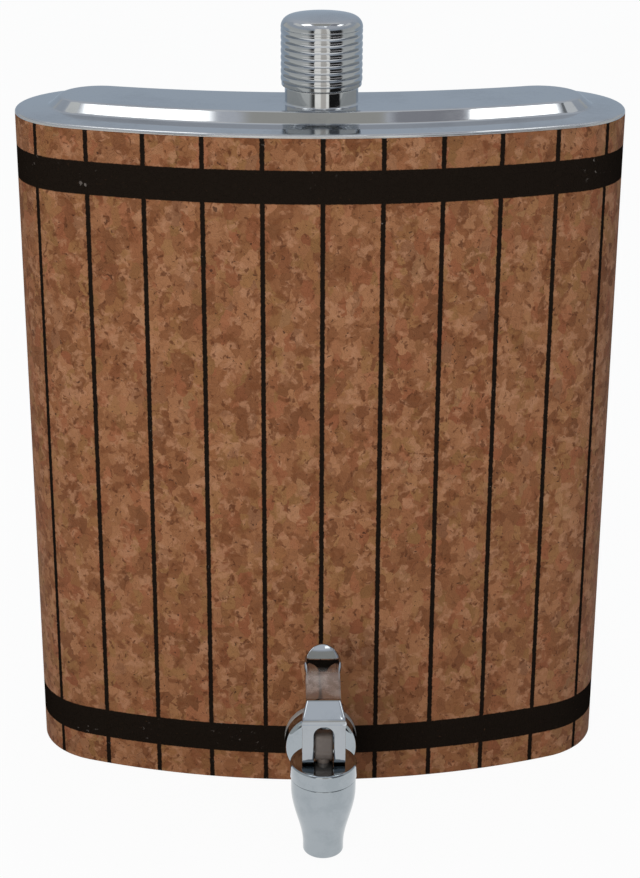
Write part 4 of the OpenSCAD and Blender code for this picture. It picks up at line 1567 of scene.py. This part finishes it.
    def _box_card(self, name: str, across: Point2, along: Point2, high: float, tint: Rgb) -> None:
        """Card overhead with soft edges, which the top plate mirrors.

        Args:
            name: Name of the card.
            across: Its limits from left to right, in metres.
            along: Its limits from front to back, in metres.
            high: Its height, in metres.
            tint: Its glow.
        """
        (x0, x1), (y0, y1) = across, along
        edge = self.soft * (x1 - x0)
        net, spot = self._card(name, [(x, y, high) for y in (y0, y1) for x in (x0, x1)], 2)
        inside = spot.window((x0, x0 + edge), (x1, x1 - edge))
        inside = inside * spot.other("Y").window((y0, y0 + edge), (y1, y1 - edge))
        self._layers(net, self.zenith, ((inside, tint),))

    def _camera(self) -> None:
        """Camera fitted to the outline, the hoops and the stave lines."""
        yaw, pitch, roll = self.turn
        ahead = Vector((math.sin(yaw) * math.cos(pitch), math.cos(yaw) * math.cos(pitch), -math.sin(pitch)))
        right = Vector((math.cos(yaw), -math.sin(yaw), 0.0))
        up = right.cross(ahead)
        across = right * math.cos(roll) + up * math.sin(roll)
        upward = up * math.cos(roll) - right * math.sin(roll)
        lens = bpy.data.cameras.new("camera")
        lens.sensor_width = 36.0
        lens.lens = self.focal * lens.sensor_width
        lens.clip_start = 0.01
        lens.clip_end = 50.0
        camera = link(bpy.data.objects.new("camera", lens))
        turn = Matrix((across, upward, -ahead)).transposed().to_4x4()
        camera.matrix_world = Matrix.Translation(self.eye) @ turn
        scene = bpy.context.scene
        scene.camera = camera
        scene.view_settings.view_transform = "Standard"


def main() -> None:
    """Builds every piece in order and notes its number of faces."""
    logging.basicConfig(level=logging.INFO, format="%(message)s")
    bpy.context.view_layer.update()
    outline = Outline()
    Dressing().dress()
    pieces: tuple[tuple[Body, str, object], ...] = (
        (Body.FLASK, "cork", CorkWrap(outline)), (Body.FLASK, "steel", TopPlate(outline)),
        (Body.FLASK, "steel", Neck()), (Body.CAP, "steel", Cap()),
        (Body.FLASK, "chrome", Valve()), (Body.FLASK, "chrome", Bonnet()),
        (Body.LEVER, "chrome", Lever()), (Body.STEM, "dark_plastic", Stem()),
    )
    for body, slot, piece in pieces:
        thing = piece.build()
        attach(thing, body.value)
        log.info("built %s on %s: %d faces", thing.name, body.value, len(thing.data.polygons))
    Studio().build()


if __name__ == "__main__":
    main()
